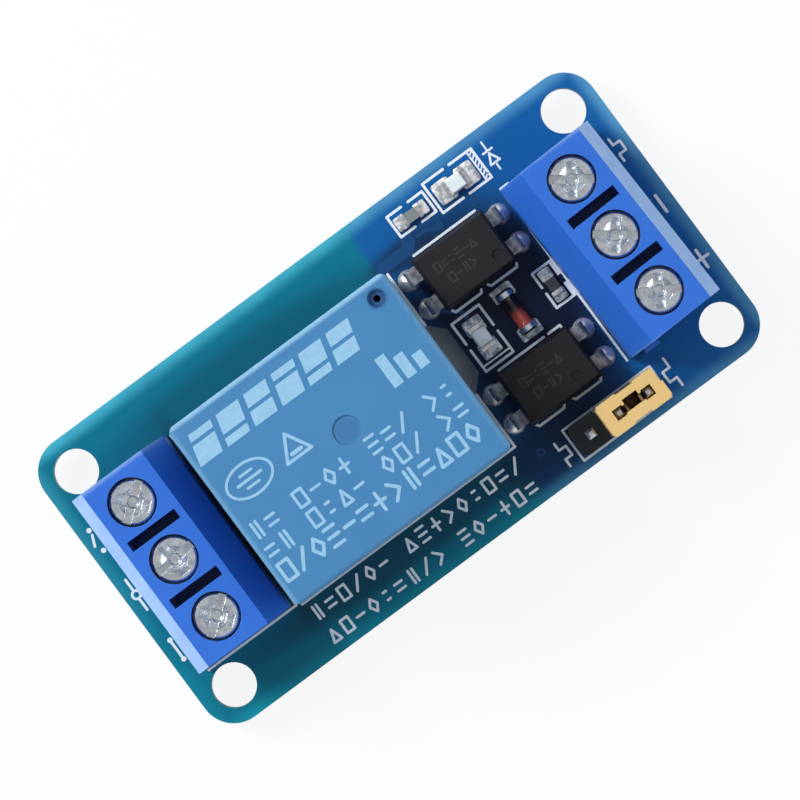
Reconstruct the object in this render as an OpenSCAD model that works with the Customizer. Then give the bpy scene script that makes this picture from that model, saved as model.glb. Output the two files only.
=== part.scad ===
// Relay module board: one relay on a small circuit board, with screw terminals for the load
// and for the supply and signal, kept apart by two optocouplers.
// Millimetres. The origin is the centre of the four mounting holes, on the board's underside.
// +X points to the input terminals, +Y to the edge with the power light, +Z up from the board.
// The board's length and width follow from the parts on it and the gaps between them.

/* [Circuit board] */
// Thickness of the board
board_t = 1.6; // [1:0.1:2.4]
// Radius of the board's corners
board_corner_r = 2.6; // [0.5:0.1:3.2]
// Diameter of the mounting holes
mount_hole_d = 3.35; // [2.2:0.05:3.6]
// Distance from a mounting hole's centre to both edges beside it
mount_hole_edge = 2.75; // [2.4:0.05:3.2]
// How far leads and pins stand out below the board
pin_reach = 1.8; // [1.4:0.1:2.5]
// Width of the isolation slot round the relay's common pin
slot_w = 1.8; // [1:0.1:2]
// Distance from the common pin to the slot's outer edge
slot_reach = 3.76; // [3.4:0.02:3.9]
// Straight part of the slot's outer edge
slot_flat = 3.95; // [3:0.05:4.2]

/* [Layout along the board] */
// From the board's end to the output block
output_edge = 1.72; // [1:0.02:3]
// From the output block to the relay
relay_gap = 0.84; // [0.4:0.02:3]
// From the relay to the first row of optocoupler leads
opto_gap = 1.16; // [1:0.02:3]
// From the last row of optocoupler leads to the input block
input_gap = 1.22; // [1:0.02:3]
// From the input block to the board's other end
input_edge = 1.96; // [1:0.02:3]
// How far the input block is turned in the slack of its holes, in degrees
input_turn = 1.7; // [-2:0.1:2]
// How far the output block sits off the board's middle
output_shift = 0.2; // [-0.3:0.02:0.3]
// How far the input block sits off the board's middle
input_shift = 0.08; // [-0.3:0.02:0.3]

/* [Layout across the board] */
// From the board's edge to the pin header
header_edge = 0.83; // [0.5:0.01:2]
// From the pin header to the near optocoupler
header_gap = 1.58; // [1:0.02:3]
// Between the two optocouplers
opto_split = 5.85; // [5.6:0.05:8]
// From the far optocoupler to the middle of the power light
light_gap = 2.7; // [2.2:0.05:4]
// From the middle of the power light to the board's edge
light_edge = 2.3; // [1.5:0.05:4]

/* [Places beside the optocouplers' centre line] */
// Pin header, towards the input block
header_off = 2.38; // [2:0.02:2.6]
// Power light, towards the input block
power_light_off = 2.93; // [2:0.01:3.5]
// First resistor, towards the relay
resistor_1_off = 1.12; // [0.9:0.02:2]
// Relay light, towards the relay
relay_light_off = 2.26; // [2:0.02:2.6]
// Diode, towards the input block
diode_off = 0.88; // [0.5:0.02:1.2]
// Second resistor, towards the input block
resistor_2_off = 4.2; // [3:0.05:4.3]

/* [Relay] */
// Length of the relay's cover
relay_l = 19.1; // [18.6:0.1:20]
// Width of the relay's cover
relay_w = 15.6; // [15.2:0.1:16.2]
// Height of the relay's top above the board
relay_h = 15.5; // [15:0.1:17]
// Wall of the cover
cover_wall = 0.9; // [0.6:0.05:1]
// Top of the cover
cover_top = 1; // [0.6:0.1:1.2]
// Radius of the cover's upright edges
cover_corner_r = 0.6; // [0.2:0.05:0.85]
// Radius of the cover's top edges
cover_edge_r = 0.35; // [0.1:0.05:0.5]
// Height of the feet that hold the relay off the board
relay_foot = 0.4; // [0.2:0.05:0.6]
// Thickness of the relay's base
relay_base_t = 1.6; // [1.2:0.1:1.8]
// From the relay's end to its common pin
common_inset = 2.45; // [2:0.05:2.6]
// From the common pin back to the coil pins
coil_pin_back = 2; // [1.8:0.05:2.2]
// From the relay's other end to its contact pins
contact_inset = 2.45; // [2.4:0.05:2.6]
// From the relay's sides to its outer pins
pin_inset = 1.8; // [1.7:0.05:1.9]
// Width of the contact pins and the common pin
relay_pin_w = 1; // [0.8:0.05:1.1]
// Width of a coil pin
coil_pin_w = 0.6; // [0.5:0.05:0.7]
// Thickness of the yoke
yoke_t = 1.2; // [0.9:0.1:1.3]
// Width of the yoke
yoke_w = 8; // [6:0.1:8.2]
// From the relay's end to the yoke's outer face
yoke_inset = 3.35; // [3.2:0.05:3.5]
// From the relay's contact end to the coil winding
coil_inset = 5.45; // [5.4:0.05:6]
// Room between the topmost contact and the cover's top
lid_room = 1; // [0.5:0.05:1.5]
// How much less deep the winding is than the radius of the barrel that it is wound on
winding_less = 0.4; // [0:0.05:0.8]
// Diameter of the core's pole face
pole_d = 6; // [5:0.1:6.4]
// Thickness of the core's pole face
pole_t = 0.75; // [0.5:0.05:0.9]
// Thickness of the bobbin's flanges
flange_t = 0.8; // [0.5:0.05:0.9]
// Wall of the bobbin's barrel
barrel_wall = 0.6; // [0.4:0.05:0.8]
// Gap between the pole face and the armature at rest
pole_gap = 0.35; // [0.34:0.01:0.5]
// Thickness of the armature
armature_t = 1.1; // [0.8:0.1:1.2]
// Width of the armature
armature_w = 7.6; // [6:0.1:8]
// How far the armature swings, in degrees
armature_swing = 2; // [1:0.1:2.1]
// Thickness of the moving contact spring
spring_t = 0.2; // [0.15:0.01:0.25]
// Width of the moving contact spring
spring_w = 4.4; // [3:0.1:5]
// Height of the spring's fixed end above the yoke's foot
spring_leg = 3.2; // [2:0.1:4]
// Thickness of the fixed contact strips
contact_t = 0.4; // [0.3:0.05:0.5]
// Diameter of the contact rivets
rivet_d = 2.2; // [1.6:0.1:2.4]

/* [Terminal blocks] */
// Distance between poles
pole_pitch = 5.08; // [5:0.02:5.3]
// Height of a block above the board
block_h = 10; // [9.8:0.1:11]
// From the screws' axis to the wire side
block_front = 3.5; // [3.3:0.05:4.2]
// From the screws' axis to the back
block_back = 4.4; // [4:0.05:5]
// Wall beyond the outer poles
block_end = 0.1; // [0:0.05:0.4]
// Flat top in front of the screws' axis
flat_front = 2.6; // [2.2:0.05:2.9]
// Flat top behind the screws' axis
flat_back = 2.7; // [2.3:0.05:3.2]
// Height of the front bevel
bevel_h = 1; // [0.4:0.1:1.5]
// Height of the slope at the back
slope_h = 3.8; // [2:0.1:4.5]
// Diameter of the screw wells
well_d = 3.6; // [3.55:0.05:3.8]
// Depth of the slits between poles
slit_depth = 6; // [3:0.5:8]
// Width of the slits between poles
slit_w = 0.78; // [0.5:0.02:0.9]
// Length of the slits between poles
slit_l = 4.2; // [3:0.1:4.4]
// Width of a wire entry
entry_w = 3; // [2.4:0.1:3.2]
// Height of a wire entry
entry_h = 3.4; // [2.8:0.1:3.6]

/* [Terminal screws and clamps] */
// Diameter of the screw's thread
thread_d = 2.5; // [2.4:0.05:2.6]
// Diameter of the screw's head
head_d = 3.3; // [3:0.05:3.4]
// Height of the screw's head
head_h = 1.2; // [1:0.05:1.3]
// Depth of the screwdriver slot
driver_depth = 0.7; // [0.4:0.05:0.8]
// Direction of the slots in the output block, from the far edge, in degrees
output_slots = [38, 5, 38];
// Direction of the slots in the input block, from the far edge, in degrees
input_slots = [-35, -38, -30];
// Length of a clamp cage along the wire
cage_l = 3.5; // [3:0.05:3.6]
// Width of a clamp cage
cage_w = 3.4; // [3.3:0.02:3.44]
// Side wall of a clamp cage
cage_wall = 0.4; // [0.3:0.05:0.4]
// Bottom of a clamp cage
cage_floor = 0.7; // [0.5:0.05:0.8]
// Threaded top of a clamp cage
cage_top = 1.05; // [0.8:0.05:1.1]
// How far a clamp cage rises
cage_lift = 2.25; // [1.8:0.05:2.3]
// Height of the lowered cage above the board
cage_z = 0.6; // [0.4:0.05:0.65]
// Opening for the wire when the cage is down
wire_gap = 2.5; // [2.4:0.05:2.6]
// Thickness of the solder strips
strip_t = 0.7; // [0.5:0.05:0.75]
// Width of the strips' tongues
tongue_w = 2; // [1.6:0.1:2.05]

/* [Optocouplers] */
// Length of a body
opto_l = 6.4; // [6:0.1:6.6]
// Width of a body
opto_w = 4.6; // [4.2:0.1:5]
// Height of a body
opto_h = 3.5; // [3:0.1:4]
// Height of a body's underside above the board
opto_foot = 0.45; // [0.3:0.05:0.8]
// Distance between the two rows of leads
opto_row = 8.2; // [7.9:0.05:8.4]
// Distance between leads in a row
opto_pitch = 2.54; // [2.4:0.02:2.6]
// Width of the solder domes on the leads
dome_d = 1.66; // [1.3:0.02:1.8]
// Height of the solder domes
dome_h = 0.6; // [0.3:0.05:0.8]

/* [Pin header and jumper] */
// Distance between header pins
header_pitch = 2.54; // [2.5:0.01:2.6]
// Width of a header pin
header_pin = 0.64; // [0.5:0.02:0.66]
// Height of the header's base
header_base_h = 2.5; // [2:0.1:3]
// Width of the header's base
header_w = 2.54; // [2.3:0.02:2.7]
// Height of the pins' tips above the board
header_h = 8.5; // [8:0.1:9]
// Length of the jumper cap
jumper_l = 5.2; // [5:0.05:5.5]
// Width of the jumper cap
jumper_w = 2.65; // [2.5:0.05:2.9]
// Height of the jumper cap
jumper_h = 6.1; // [5.6:0.1:6.5]
// Thickness of the clip in the jumper cap
clip_t = 0.2; // [0.15:0.01:0.22]
// Width of the clip in the jumper cap
clip_w = 1.2; // [0.8:0.05:1.4]

/* [Chips and diode] */
// Length, width and height of a light
light_size = [2, 1.25, 0.8];
// Length, width and height of a resistor
resistor_size = [1.6, 0.85, 0.45];
// Length of the metal ends of a chip
chip_end = 0.32; // [0.2:0.02:0.4]
// Length of the diode
diode_l = 3.6; // [3.3:0.05:3.7]
// Diameter of the diode's metal ends
diode_d = 1.45; // [1.3:0.05:1.6]
// Length of the diode's metal ends
diode_cap = 0.55; // [0.4:0.05:0.7]
// How far a pad reaches beyond the end of its chip
pad_out = 0.5; // [0.3:0.05:0.6]
// Width of the pads under the power light
power_pad_w = 1.7; // [1.3:0.05:2]
// Width of the pads under the relay light
relay_pad_w = 1.55; // [1.3:0.05:2]
// Width of the pads under the first resistor
pad_1_w = 1.1; // [0.9:0.05:1.4]
// Width of the pads under the second resistor
pad_2_w = 1; // [0.9:0.05:1.4]
// Width of the pads under the diode
diode_pad_w = 1.8; // [1.4:0.05:2]
// Thickness of a tinned pad
pad_t = 0.06; // [0.04:0.01:0.1]

/* [Hidden] */

$fn = 48;
// Overshoot of a cut past the face that it opens
cut = 0.1;
// Clearance round a pin, strip or insert in its seat
fit = 0.03;
// Running clearance of a screw in its thread
thread_fit = 0.04;

POLES = 3;
block_l = POLES * pole_pitch + 2 * block_end;
board_l = output_edge + block_front + block_back + relay_gap + relay_l + opto_gap + opto_row
    + input_gap + block_back + block_front + input_edge;
board_w = header_edge + header_w + header_gap + opto_w + opto_split + opto_w + light_gap
    + light_edge;

output_x = -board_l / 2 + output_edge + block_front;
relay_x = output_x + block_back + relay_gap + relay_l / 2;
opto_x = relay_x + relay_l / 2 + opto_gap + opto_row / 2;
input_x = board_l / 2 - input_edge - block_front;
header_y = -board_w / 2 + header_edge + header_w / 2;
opto_2_y = header_y + header_w / 2 + header_gap + opto_w / 2;
opto_1_y = opto_2_y + opto_w + opto_split;
middle_y = (opto_1_y + opto_2_y) / 2;
light_y = board_w / 2 - light_edge;

header_x = opto_x + header_off;
power_light_x = opto_x + power_light_off;
resistor_1_x = opto_x - resistor_1_off;
relay_light_x = opto_x - relay_light_off;
diode_x = opto_x + diode_off;
resistor_2_x = opto_x + resistor_2_off;

// Pin sections along X and Y
contact_pin = [relay_pin_w, contact_t];
common_pin = [contact_t, relay_pin_w];
coil_pin = [coil_pin_w, coil_pin_w];
strip_pin = [strip_t, 1];
header_section = [header_pin, header_pin];
opto_lead_t = 0.25;
opto_lead = [opto_lead_t, 0.5];
// Height above the board at which the leads leave the bodies
opto_lead_z = opto_foot + opto_h * 0.44;
// Room round a header pin in the jumper cap
pin_room = header_pin + 0.2;
// Height of the flat base of a light
light_base_h = 0.35;

// Relay, in its own frame: origin on the board under the middle of its cover
common_x = relay_l / 2 - common_inset;
coil_pin_x = common_x - coil_pin_back;
contact_x = contact_inset - relay_l / 2;
pin_span = relay_w - 2 * pin_inset;
inner_l = relay_l - 2 * cover_wall;
inner_w = relay_w - 2 * cover_wall;
base_top = relay_foot + relay_base_t;
yoke_out = relay_l / 2 - yoke_inset;
yoke_in = yoke_out - yoke_t;
coil_clear = 0.3;
// The winding fills the length between the contacts and the yoke
coil_d = relay_l - coil_inset - yoke_inset - yoke_t - coil_clear;
coil_x = yoke_in - coil_clear - coil_d / 2;
barrel_r = (coil_d / 2 + winding_less) / 2;
core_d = 2 * (barrel_r - barrel_wall);
contact_air = 0.05;
moving_up = 0.35;
moving_down = 0.3;
rivet_h = 0.4;
rivet_tail = 0.15;
// The winding fills the height that the iron and the contacts leave
coil_l = relay_h - cover_top - lid_room - rivet_tail - contact_t - rivet_h - contact_air
    - moving_up - spring_t - armature_t - pole_gap - pole_t - 2 * flange_t - yoke_t - base_top;
flange_z = base_top + yoke_t;
winding_z = flange_z + flange_t;
pole_z = winding_z + coil_l + flange_t;
armature_z = pole_z + pole_t + pole_gap;
groove_depth = 0.2;
hinge_fit = 0.05;
hinge_r = yoke_t / 2;
hinge_x = yoke_in + hinge_r;
hinge_z = armature_z + groove_depth - hinge_fit - hinge_r;
spring_z = armature_z + armature_t;
stem_r = rivet_d / 4;
stud_r = 0.45;
rivet_core_r = core_d / 3;
swing_drop = (hinge_x - contact_x + rivet_d / 2) * sin(armature_swing);
closed_rivet_z = spring_z + spring_t + moving_up + contact_air;
closed_arm_z = closed_rivet_z + rivet_h;
open_rivet_z = spring_z - moving_down - swing_drop - contact_air;
open_arm_z = open_rivet_z - rivet_h - contact_t;

// Terminal block, in its own frame: origin on the board under the middle screw, +X to the wires
cage_clear = 0.1;
cavity_l = cage_l + 2 * cage_clear;
cavity_w = cage_w + 2 * cage_clear;
window_w = cage_w - 2 * cage_wall;
tongue_z = cage_z + cage_floor + wire_gap;
// The raised cage's floor stops just under the tongue, and its top just under the screw's head
window_h = wire_gap + strip_t + 0.5;
cage_h = cage_floor + window_h + cage_top;
cavity_top = cage_z + cage_h + cage_lift + 0.15;
tip_gap = 0.02;
strip_back = cavity_l / 2 + 0.15 + strip_t;
leg_w = tongue_w + 0.2;
entry_z = cage_z + 0.4;

// Holes in the board, as x, y and diameter
relay_pins = [
    [common_x, 0, common_pin, 1.3],
    for (s = [-1, 1]) [coil_pin_x, s * pin_span / 2, coil_pin, 1],
    for (s = [-1, 1]) [contact_x, s * pin_span / 2, contact_pin, 1.3]
];
opto_pins = [
    for (y = [opto_1_y, opto_2_y], sx = [-1, 1], sy = [-1, 1])
        [opto_x + sx * opto_row / 2, y + sy * opto_pitch / 2, opto_lead, 0.8]
];
header_pin_list = [for (i = [-1, 0, 1]) [header_x + i * header_pitch, header_y, header_section, 1]];
strip_pin_list = [for (i = [-1, 0, 1]) [-strip_back + strip_t / 2, i * pole_pitch, strip_pin, 1.5]];

// ---------------------------------------------------------------- shapes that repeat

// Flat rectangle with round corners
module rounded_rect(l, w, r) {
    square([l - 2 * r, w], center = true);
    square([l, w - 2 * r], center = true);
    for (sx = [-1, 1], sy = [-1, 1])
        translate([sx * (l / 2 - r), sy * (w / 2 - r)])
            circle(r);
}

// Upright outline that stands on the X axis, with its two top corners rounded
module rounded_top(l, h, r) {
    translate([-l / 2, 0]) square([l, h - r]);
    translate([r - l / 2, 0]) square([l - 2 * r, h]);
    for (s = [-1, 1])
        translate([s * (l / 2 - r), h - r])
            circle(r);
}

// Outline in X and Z, drawn out along Y to both sides
module across(w) {
    rotate([90, 0, 0]) linear_extrude(w, center = true) children();
}

// Outline in Y and Z, drawn out along X to both sides
module along(l) {
    rotate([90, 0, 90]) linear_extrude(l, center = true) children();
}

// Box with round upright edges and round top edges
module softened_box(l, w, h, corner_r, edge_r) {
    intersection() {
        linear_extrude(h) rounded_rect(l, w, corner_r);
        across(w + 1) rounded_top(l, h, edge_r);
        along(l + 1) rounded_top(w, h, edge_r);
    }
}

// Side view of a strip bent once: its outside corner is the origin, its legs run to -X and -Y
module elbow(leg_x, leg_y, t, r) {
    o = r + t;
    translate([-leg_x, -t]) square([leg_x - o, t]);
    translate([-t, -leg_y]) square([t, leg_y - o]);
    translate([-o, -o])
        intersection() {
            difference() {
                circle(o);
                circle(r);
            }
            square(o);
        }
}

// Box given by its centre in X and Y and its span in Z
module post(x, y, size, z0, z1) {
    translate([x - size[0] / 2, y - size[1] / 2, z0]) cube([size[0], size[1], z1 - z0]);
}

// Square pin with tapered ends
module tapered_pin(w, z0, z1, taper) {
    tip = w / 4;
    outline = [
        [-w / 2, z0 + taper], [-tip, z0], [tip, z0], [w / 2, z0 + taper],
        [w / 2, z1 - taper], [tip, z1], [-tip, z1], [-w / 2, z1 - taper]
    ];
    intersection() {
        across(w) polygon(outline);
        along(w) polygon(outline);
    }
}

// Solder cone on the board's underside, round a pin of the given section
module solder_cone(size, hole_d) {
    pad_r = hole_d / 2 + 0.5;
    neck_r = norm(size) / 2 + 0.12;
    sweep_r = min(pad_r - neck_r, pin_reach - 0.4);
    difference() {
        rotate_extrude()
            difference() {
                translate([0, -sweep_r - 0.1]) square([neck_r + sweep_r, sweep_r + 0.1]);
                translate([neck_r + sweep_r, -sweep_r - 0.1]) circle(sweep_r);
            }
        post(0, 0, size, -pin_reach, cut);
    }
}

// Solder dome on the board's top, round a lead
module solder_dome(size) {
    ball_r = (pow(dome_d / 2, 2) + pow(dome_h, 2)) / (2 * dome_h);
    difference() {
        translate([0, 0, dome_h - ball_r]) sphere(ball_r);
        translate([0, 0, -2 * ball_r]) cylinder(h = 2 * ball_r, r = 2 * ball_r);
        post(0, 0, size, -cut, 2 * ball_r);
    }
}

// Tinned pad and its solder, at the +X end of a chip of length l and width w
module pad(l, w, rise) {
    end = l / 2;
    outline = [
        [end - chip_end - 0.1, 0], [end + pad_out, 0], [end + pad_out, pad_t],
        [end + pad_out * 0.4, pad_t + rise * 0.35], [end, pad_t + rise],
        [end, pad_t], [end - chip_end - 0.1, pad_t]
    ];
    across(w) polygon(outline);
}

module pad_pair(l, w, rise) {
    pad(l, w, rise);
    mirror([1, 0, 0]) pad(l, w, rise);
}

// ---------------------------------------------------------------- places

module on_board() {
    translate([0, 0, board_t]) children();
}

module at_relay() {
    translate([relay_x, 0, board_t]) children();
}

// Moves a block's own frame to its place, its wire side outwards
module at_block(side) {
    x = side == "input" ? input_x : output_x;
    y = side == "input" ? input_shift : output_shift;
    turn = side == "input" ? input_turn : 180;
    translate([x, y, board_t]) rotate([0, 0, turn]) children();
}

// Moves to pole 1, 2 or 3 of a block, counted from the edge with the power light
module at_pole(side, number) {
    way = side == "input" ? 1 : -1;
    at_block(side) translate([0, way * (2 - number) * pole_pitch, 0]) children();
}

module at_chip(x, y, turn) {
    translate([x, y, board_t]) rotate([0, 0, turn]) children();
}

// ---------------------------------------------------------------- board, solder and pads

// Half-octagon slot that keeps the common contact's copper apart from the inputs
module isolation_slot() {
    out_h = slot_flat / 2;
    in_h = out_h - slot_w * tan(22.5);
    slant = 2;
    tail = -0.3;
    in_slant = slant - slot_w * tan(22.5);
    x_out = common_x + slot_reach;
    x_in = x_out - slot_w;
    for (s = [-1, 1])
        polygon([
            [x_out, 0], [x_out, s * out_h], [x_out - slant, s * (out_h + slant)],
            [common_x + tail, s * (out_h + slant)],
            [common_x + tail, s * (in_h + in_slant)],
            [x_in - in_slant, s * (in_h + in_slant)], [x_in, s * in_h], [x_in, 0]
        ]);
}

module drill(pins) {
    for (p = pins)
        translate([p[0], p[1]]) circle(d = p[3]);
}

module circuit_board() {
    color("teal")
        linear_extrude(board_t)
            difference() {
                rounded_rect(board_l, board_w, board_corner_r);
                for (sx = [-1, 1], sy = [-1, 1])
                    translate([
                        sx * (board_l / 2 - mount_hole_edge),
                        sy * (board_w / 2 - mount_hole_edge)
                    ])
                        circle(d = mount_hole_d);
                translate([relay_x, 0]) {
                    isolation_slot();
                    drill(relay_pins);
                }
                drill(opto_pins);
                drill(header_pin_list);
                translate([input_x, input_shift]) rotate(input_turn) drill(strip_pin_list);
                translate([output_x, output_shift]) rotate(180) drill(strip_pin_list);
            }
}

module cones(pins) {
    for (p = pins)
        translate([p[0], p[1], 0]) solder_cone(p[2], p[3]);
}

module solder_joints() {
    color("silver") {
        translate([relay_x, 0, 0]) cones(relay_pins);
        cones(opto_pins);
        cones(header_pin_list);
        for (side = ["input", "output"])
            at_block(side) translate([0, 0, -board_t]) cones(strip_pin_list);
        on_board()
            for (p = opto_pins)
                translate([p[0], p[1], 0]) solder_dome(p[2]);
    }
}

module chip_pads() {
    resistor_rise = 0.7 * resistor_size[2];
    light_rise = 0.3;
    color("silver") {
        at_chip(power_light_x, light_y, 0) pad_pair(light_size[0], power_pad_w, light_rise);
        at_chip(relay_light_x, middle_y, 90) pad_pair(light_size[0], relay_pad_w, light_rise);
        at_chip(resistor_1_x, light_y, 0) pad_pair(resistor_size[0], pad_1_w, resistor_rise);
        at_chip(resistor_2_x, middle_y, 90) pad_pair(resistor_size[0], pad_2_w, resistor_rise);
        at_chip(diode_x, middle_y, 90)
            for (m = [0, 1])
                mirror([m, 0, 0])
                    translate([diode_l / 2 - diode_cap - 0.2, -diode_pad_w / 2, 0])
                        cube([diode_cap + 0.2 + pad_out, diode_pad_w, pad_t]);
    }
}

// ---------------------------------------------------------------- relay

module relay_cover() {
    vent = [relay_l / 2 - 1.5, relay_w / 2 - 1.35];
    gate = [0.8, 0.2];
    top = relay_h - cover_top;
    color("steelblue")
        at_relay()
            difference() {
                translate([0, 0, relay_foot])
                    softened_box(relay_l, relay_w, relay_h - relay_foot, cover_corner_r, cover_edge_r);
                translate([0, 0, relay_foot - cut])
                    linear_extrude(top - relay_foot + cut)
                        rounded_rect(inner_l, inner_w, 0.3);
                translate([vent[0], vent[1], top - cut]) cylinder(h = cover_top + 2 * cut, d = 0.5);
                translate([vent[0], vent[1], relay_h - 0.4]) cylinder(h = 0.4 + cut, d1 = 0.9, d2 = 1.5);
                translate([gate[0], gate[1], relay_h - 0.12]) cylinder(h = 0.12 + cut, d = 2.1);
            }
}

module relay_base() {
    foot_r = 0.7;
    foot_in = 1.2;
    color("darkslateblue")
        at_relay()
            difference() {
                union() {
                    translate([0, 0, relay_foot])
                        linear_extrude(relay_base_t)
                            rounded_rect(inner_l - 2 * fit, inner_w - 2 * fit, 0.3);
                    for (s = [-1, 1]) {
                        translate([inner_l / 2 - foot_in, s * (inner_w / 2 - foot_in), 0])
                            cylinder(h = relay_foot + cut, r = foot_r);
                        translate([foot_in - inner_l / 2, s * (pin_span / 2 - 3), 0])
                            cylinder(h = relay_foot + cut, r = foot_r);
                    }
                }
                for (p = relay_pins)
                    post(p[0], p[1], [p[2][0] + 2 * fit, p[2][1] + 2 * fit], -cut, base_top + cut);
            }
}

module relay_yoke() {
    color("gainsboro")
        at_relay()
            difference() {
                across(yoke_w) {
                    back = coil_x - pole_d / 2 - 0.4;
                    translate([back, base_top]) square([yoke_out - back, yoke_t]);
                    translate([yoke_in, base_top]) square([yoke_t, hinge_z - base_top]);
                    translate([hinge_x, hinge_z]) circle(hinge_r);
                }
                translate([coil_x, 0, base_top - cut])
                    cylinder(h = yoke_t + 2 * cut, r = rivet_core_r + fit);
            }
}

// The core's foot is riveted through the yoke, and its head is the pole face
module relay_core() {
    color("silver")
        at_relay()
            translate([coil_x, 0, 0])
                rotate_extrude()
                    polygon([
                        [0, base_top], [rivet_core_r, base_top], [rivet_core_r, flange_z],
                        [core_d / 2, flange_z], [core_d / 2, pole_z], [pole_d / 2, pole_z],
                        [pole_d / 2, pole_z + pole_t], [0, pole_z + pole_t]
                    ]);
}

module relay_bobbin() {
    flange_l = coil_d + 0.3;
    wing_in = yoke_w / 2 + 0.3;
    wing_out = pin_span / 2 + 0.75;
    color("ivory")
        at_relay()
            difference() {
                union() {
                    // lower flange, with a wing on each side that holds a coil pin
                    translate([coil_x - flange_l / 2, -wing_out, flange_z])
                        cube([flange_l, 2 * wing_out, flange_t]);
                    for (s = [-1, 1])
                        translate([coil_x, s < 0 ? -wing_out : wing_in, flange_z])
                            cube([coil_pin_x + 0.7 - coil_x, wing_out - wing_in, flange_t]);
                    translate([coil_x, 0, winding_z]) cylinder(h = coil_l, r = barrel_r);
                    translate([coil_x, 0, winding_z + coil_l])
                        linear_extrude(flange_t) rounded_rect(flange_l, coil_d + 1.6, 1);
                }
                translate([coil_x, 0, flange_z - cut])
                    cylinder(h = pole_z - flange_z + 2 * cut, d = core_d + 2 * fit);
                for (s = [-1, 1])
                    post(coil_pin_x, s * pin_span / 2, [coil_pin[0] + 2 * fit, coil_pin[1] + 2 * fit],
                        flange_z - cut, winding_z + cut);
            }
}

module relay_coil() {
    color("peru")
        at_relay()
            translate([coil_x, 0, winding_z + fit])
                difference() {
                    cylinder(h = coil_l - 2 * fit, d = coil_d);
                    translate([0, 0, -cut]) cylinder(h = coil_l + 2 * cut, r = barrel_r + fit);
                }
}

// Studs that rivet the spring to the armature, as X places
function stud_places() = [coil_x - 2, coil_x + 2];

module relay_armature() {
    tip_x = coil_x - pole_d / 2 - 0.6;
    heel_in = 0.15;
    color("gainsboro")
        at_relay()
            difference() {
                union() {
                    translate([tip_x, -armature_w / 2, armature_z])
                        cube([yoke_out - heel_in - tip_x, armature_w, armature_t]);
                    for (x = stud_places()) {
                        translate([x, 0, spring_z - cut]) cylinder(h = spring_t + cut, r = stud_r);
                        translate([x, 0, spring_z + spring_t]) cylinder(h = 0.25, r = 0.8);
                    }
                }
                translate([hinge_x, 0, hinge_z])
                    rotate([90, 0, 0])
                        cylinder(h = armature_w + 2 * cut, r = hinge_r + hinge_fit, center = true);
            }
}

module relay_spring() {
    tip_w = rivet_d + 0.2;
    tip_x = contact_x - rivet_d / 2 - 0.1;
    leg_x = yoke_out + hinge_fit + spring_t;
    leg_end = base_top + yoke_t + spring_leg;
    neck = coil_x - pole_d / 2 - 1;
    bend = 0.15;
    color("darkgoldenrod")
        at_relay()
            difference() {
                intersection() {
                    translate([leg_x, 0, spring_z + spring_t]) across(spring_w)
                        elbow(leg_x - tip_x, spring_z + spring_t - leg_end, spring_t, bend);
                    linear_extrude(relay_h)
                        polygon([
                            [tip_x, -tip_w / 2], [neck, -tip_w / 2], [neck + 1, -spring_w / 2],
                            [leg_x, -spring_w / 2], [leg_x, spring_w / 2], [neck + 1, spring_w / 2],
                            [neck, tip_w / 2], [tip_x, tip_w / 2]
                        ]);
                }
                for (x = stud_places())
                    translate([x, 0, spring_z - cut]) cylinder(h = spring_t + 2 * cut, r = stud_r + fit);
                translate([contact_x, 0, spring_z - cut])
                    cylinder(h = spring_t + 2 * cut, r = stem_r + fit);
            }
}

module relay_moving_contact() {
    color("lightgray")
        at_relay()
            translate([contact_x, 0, spring_z])
                rotate_extrude()
                    polygon([
                        [0, -moving_down], [rivet_d / 2, -moving_down], [rivet_d / 2, 0],
                        [stem_r, 0], [stem_r, spring_t], [rivet_d / 2, spring_t],
                        [rivet_d / 2, spring_t + moving_up], [0, spring_t + moving_up]
                    ]);
}

// Strip that carries a fixed contact: a pin, a plate up the relay's side and an arm over or
// under the moving contact. The hole takes the contact's rivet.
module contact_strip(side, arm_z) {
    plate_w = 2.8;
    arm_end = rivet_d / 2 + 0.15;
    y_out = pin_span / 2 + contact_t / 2;
    difference() {
        mirror([0, side < 0 ? 1 : 0, 0]) {
            translate([contact_x, y_out, arm_z + contact_t])
                along(plate_w)
                    elbow(y_out + arm_end, arm_z + contact_t - base_top, contact_t, 0.3);
            post(contact_x, pin_span / 2, contact_pin, -board_t - pin_reach, base_top + cut);
        }
        translate([contact_x, 0, arm_z - cut])
            cylinder(h = contact_t + 2 * cut, r = stem_r + fit);
    }
}

module relay_closed_contact() {
    color("goldenrod") at_relay() contact_strip(1, closed_arm_z);
}

module relay_open_contact() {
    color("goldenrod") at_relay() contact_strip(-1, open_arm_z);
}

// Rivet of a fixed contact: its face is on the origin, its stem goes up through a strip
module fixed_rivet() {
    top = rivet_h + contact_t + rivet_tail;
    rotate_extrude()
        polygon([
            [0, 0], [rivet_d / 2, 0], [rivet_d / 2, rivet_h],
            [stem_r, rivet_h], [stem_r, top], [0, top]
        ]);
}

module relay_fixed_rivets() {
    color("lightgray")
        at_relay()
            translate([contact_x, 0, 0]) {
                translate([0, 0, closed_rivet_z]) fixed_rivet();
                translate([0, 0, open_rivet_z]) mirror([0, 0, 1]) fixed_rivet();
            }
}

// The common pin ends in a tab that is welded to the yoke's outer face
module relay_common_pin() {
    tab_z = base_top + yoke_t * 0.35;
    color("goldenrod")
        at_relay() {
            post(common_x, 0, common_pin, -board_t - pin_reach, tab_z + contact_t);
            translate([yoke_out, -common_pin[1] / 2, tab_z])
                cube([common_x - yoke_out, common_pin[1], contact_t]);
        }
}

module relay_coil_pins() {
    color("silver")
        at_relay()
            for (s = [-1, 1])
                post(coil_pin_x, s * pin_span / 2, coil_pin, -board_t - pin_reach, winding_z + 1);
}

// ---------------------------------------------------------------- terminal blocks

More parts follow.
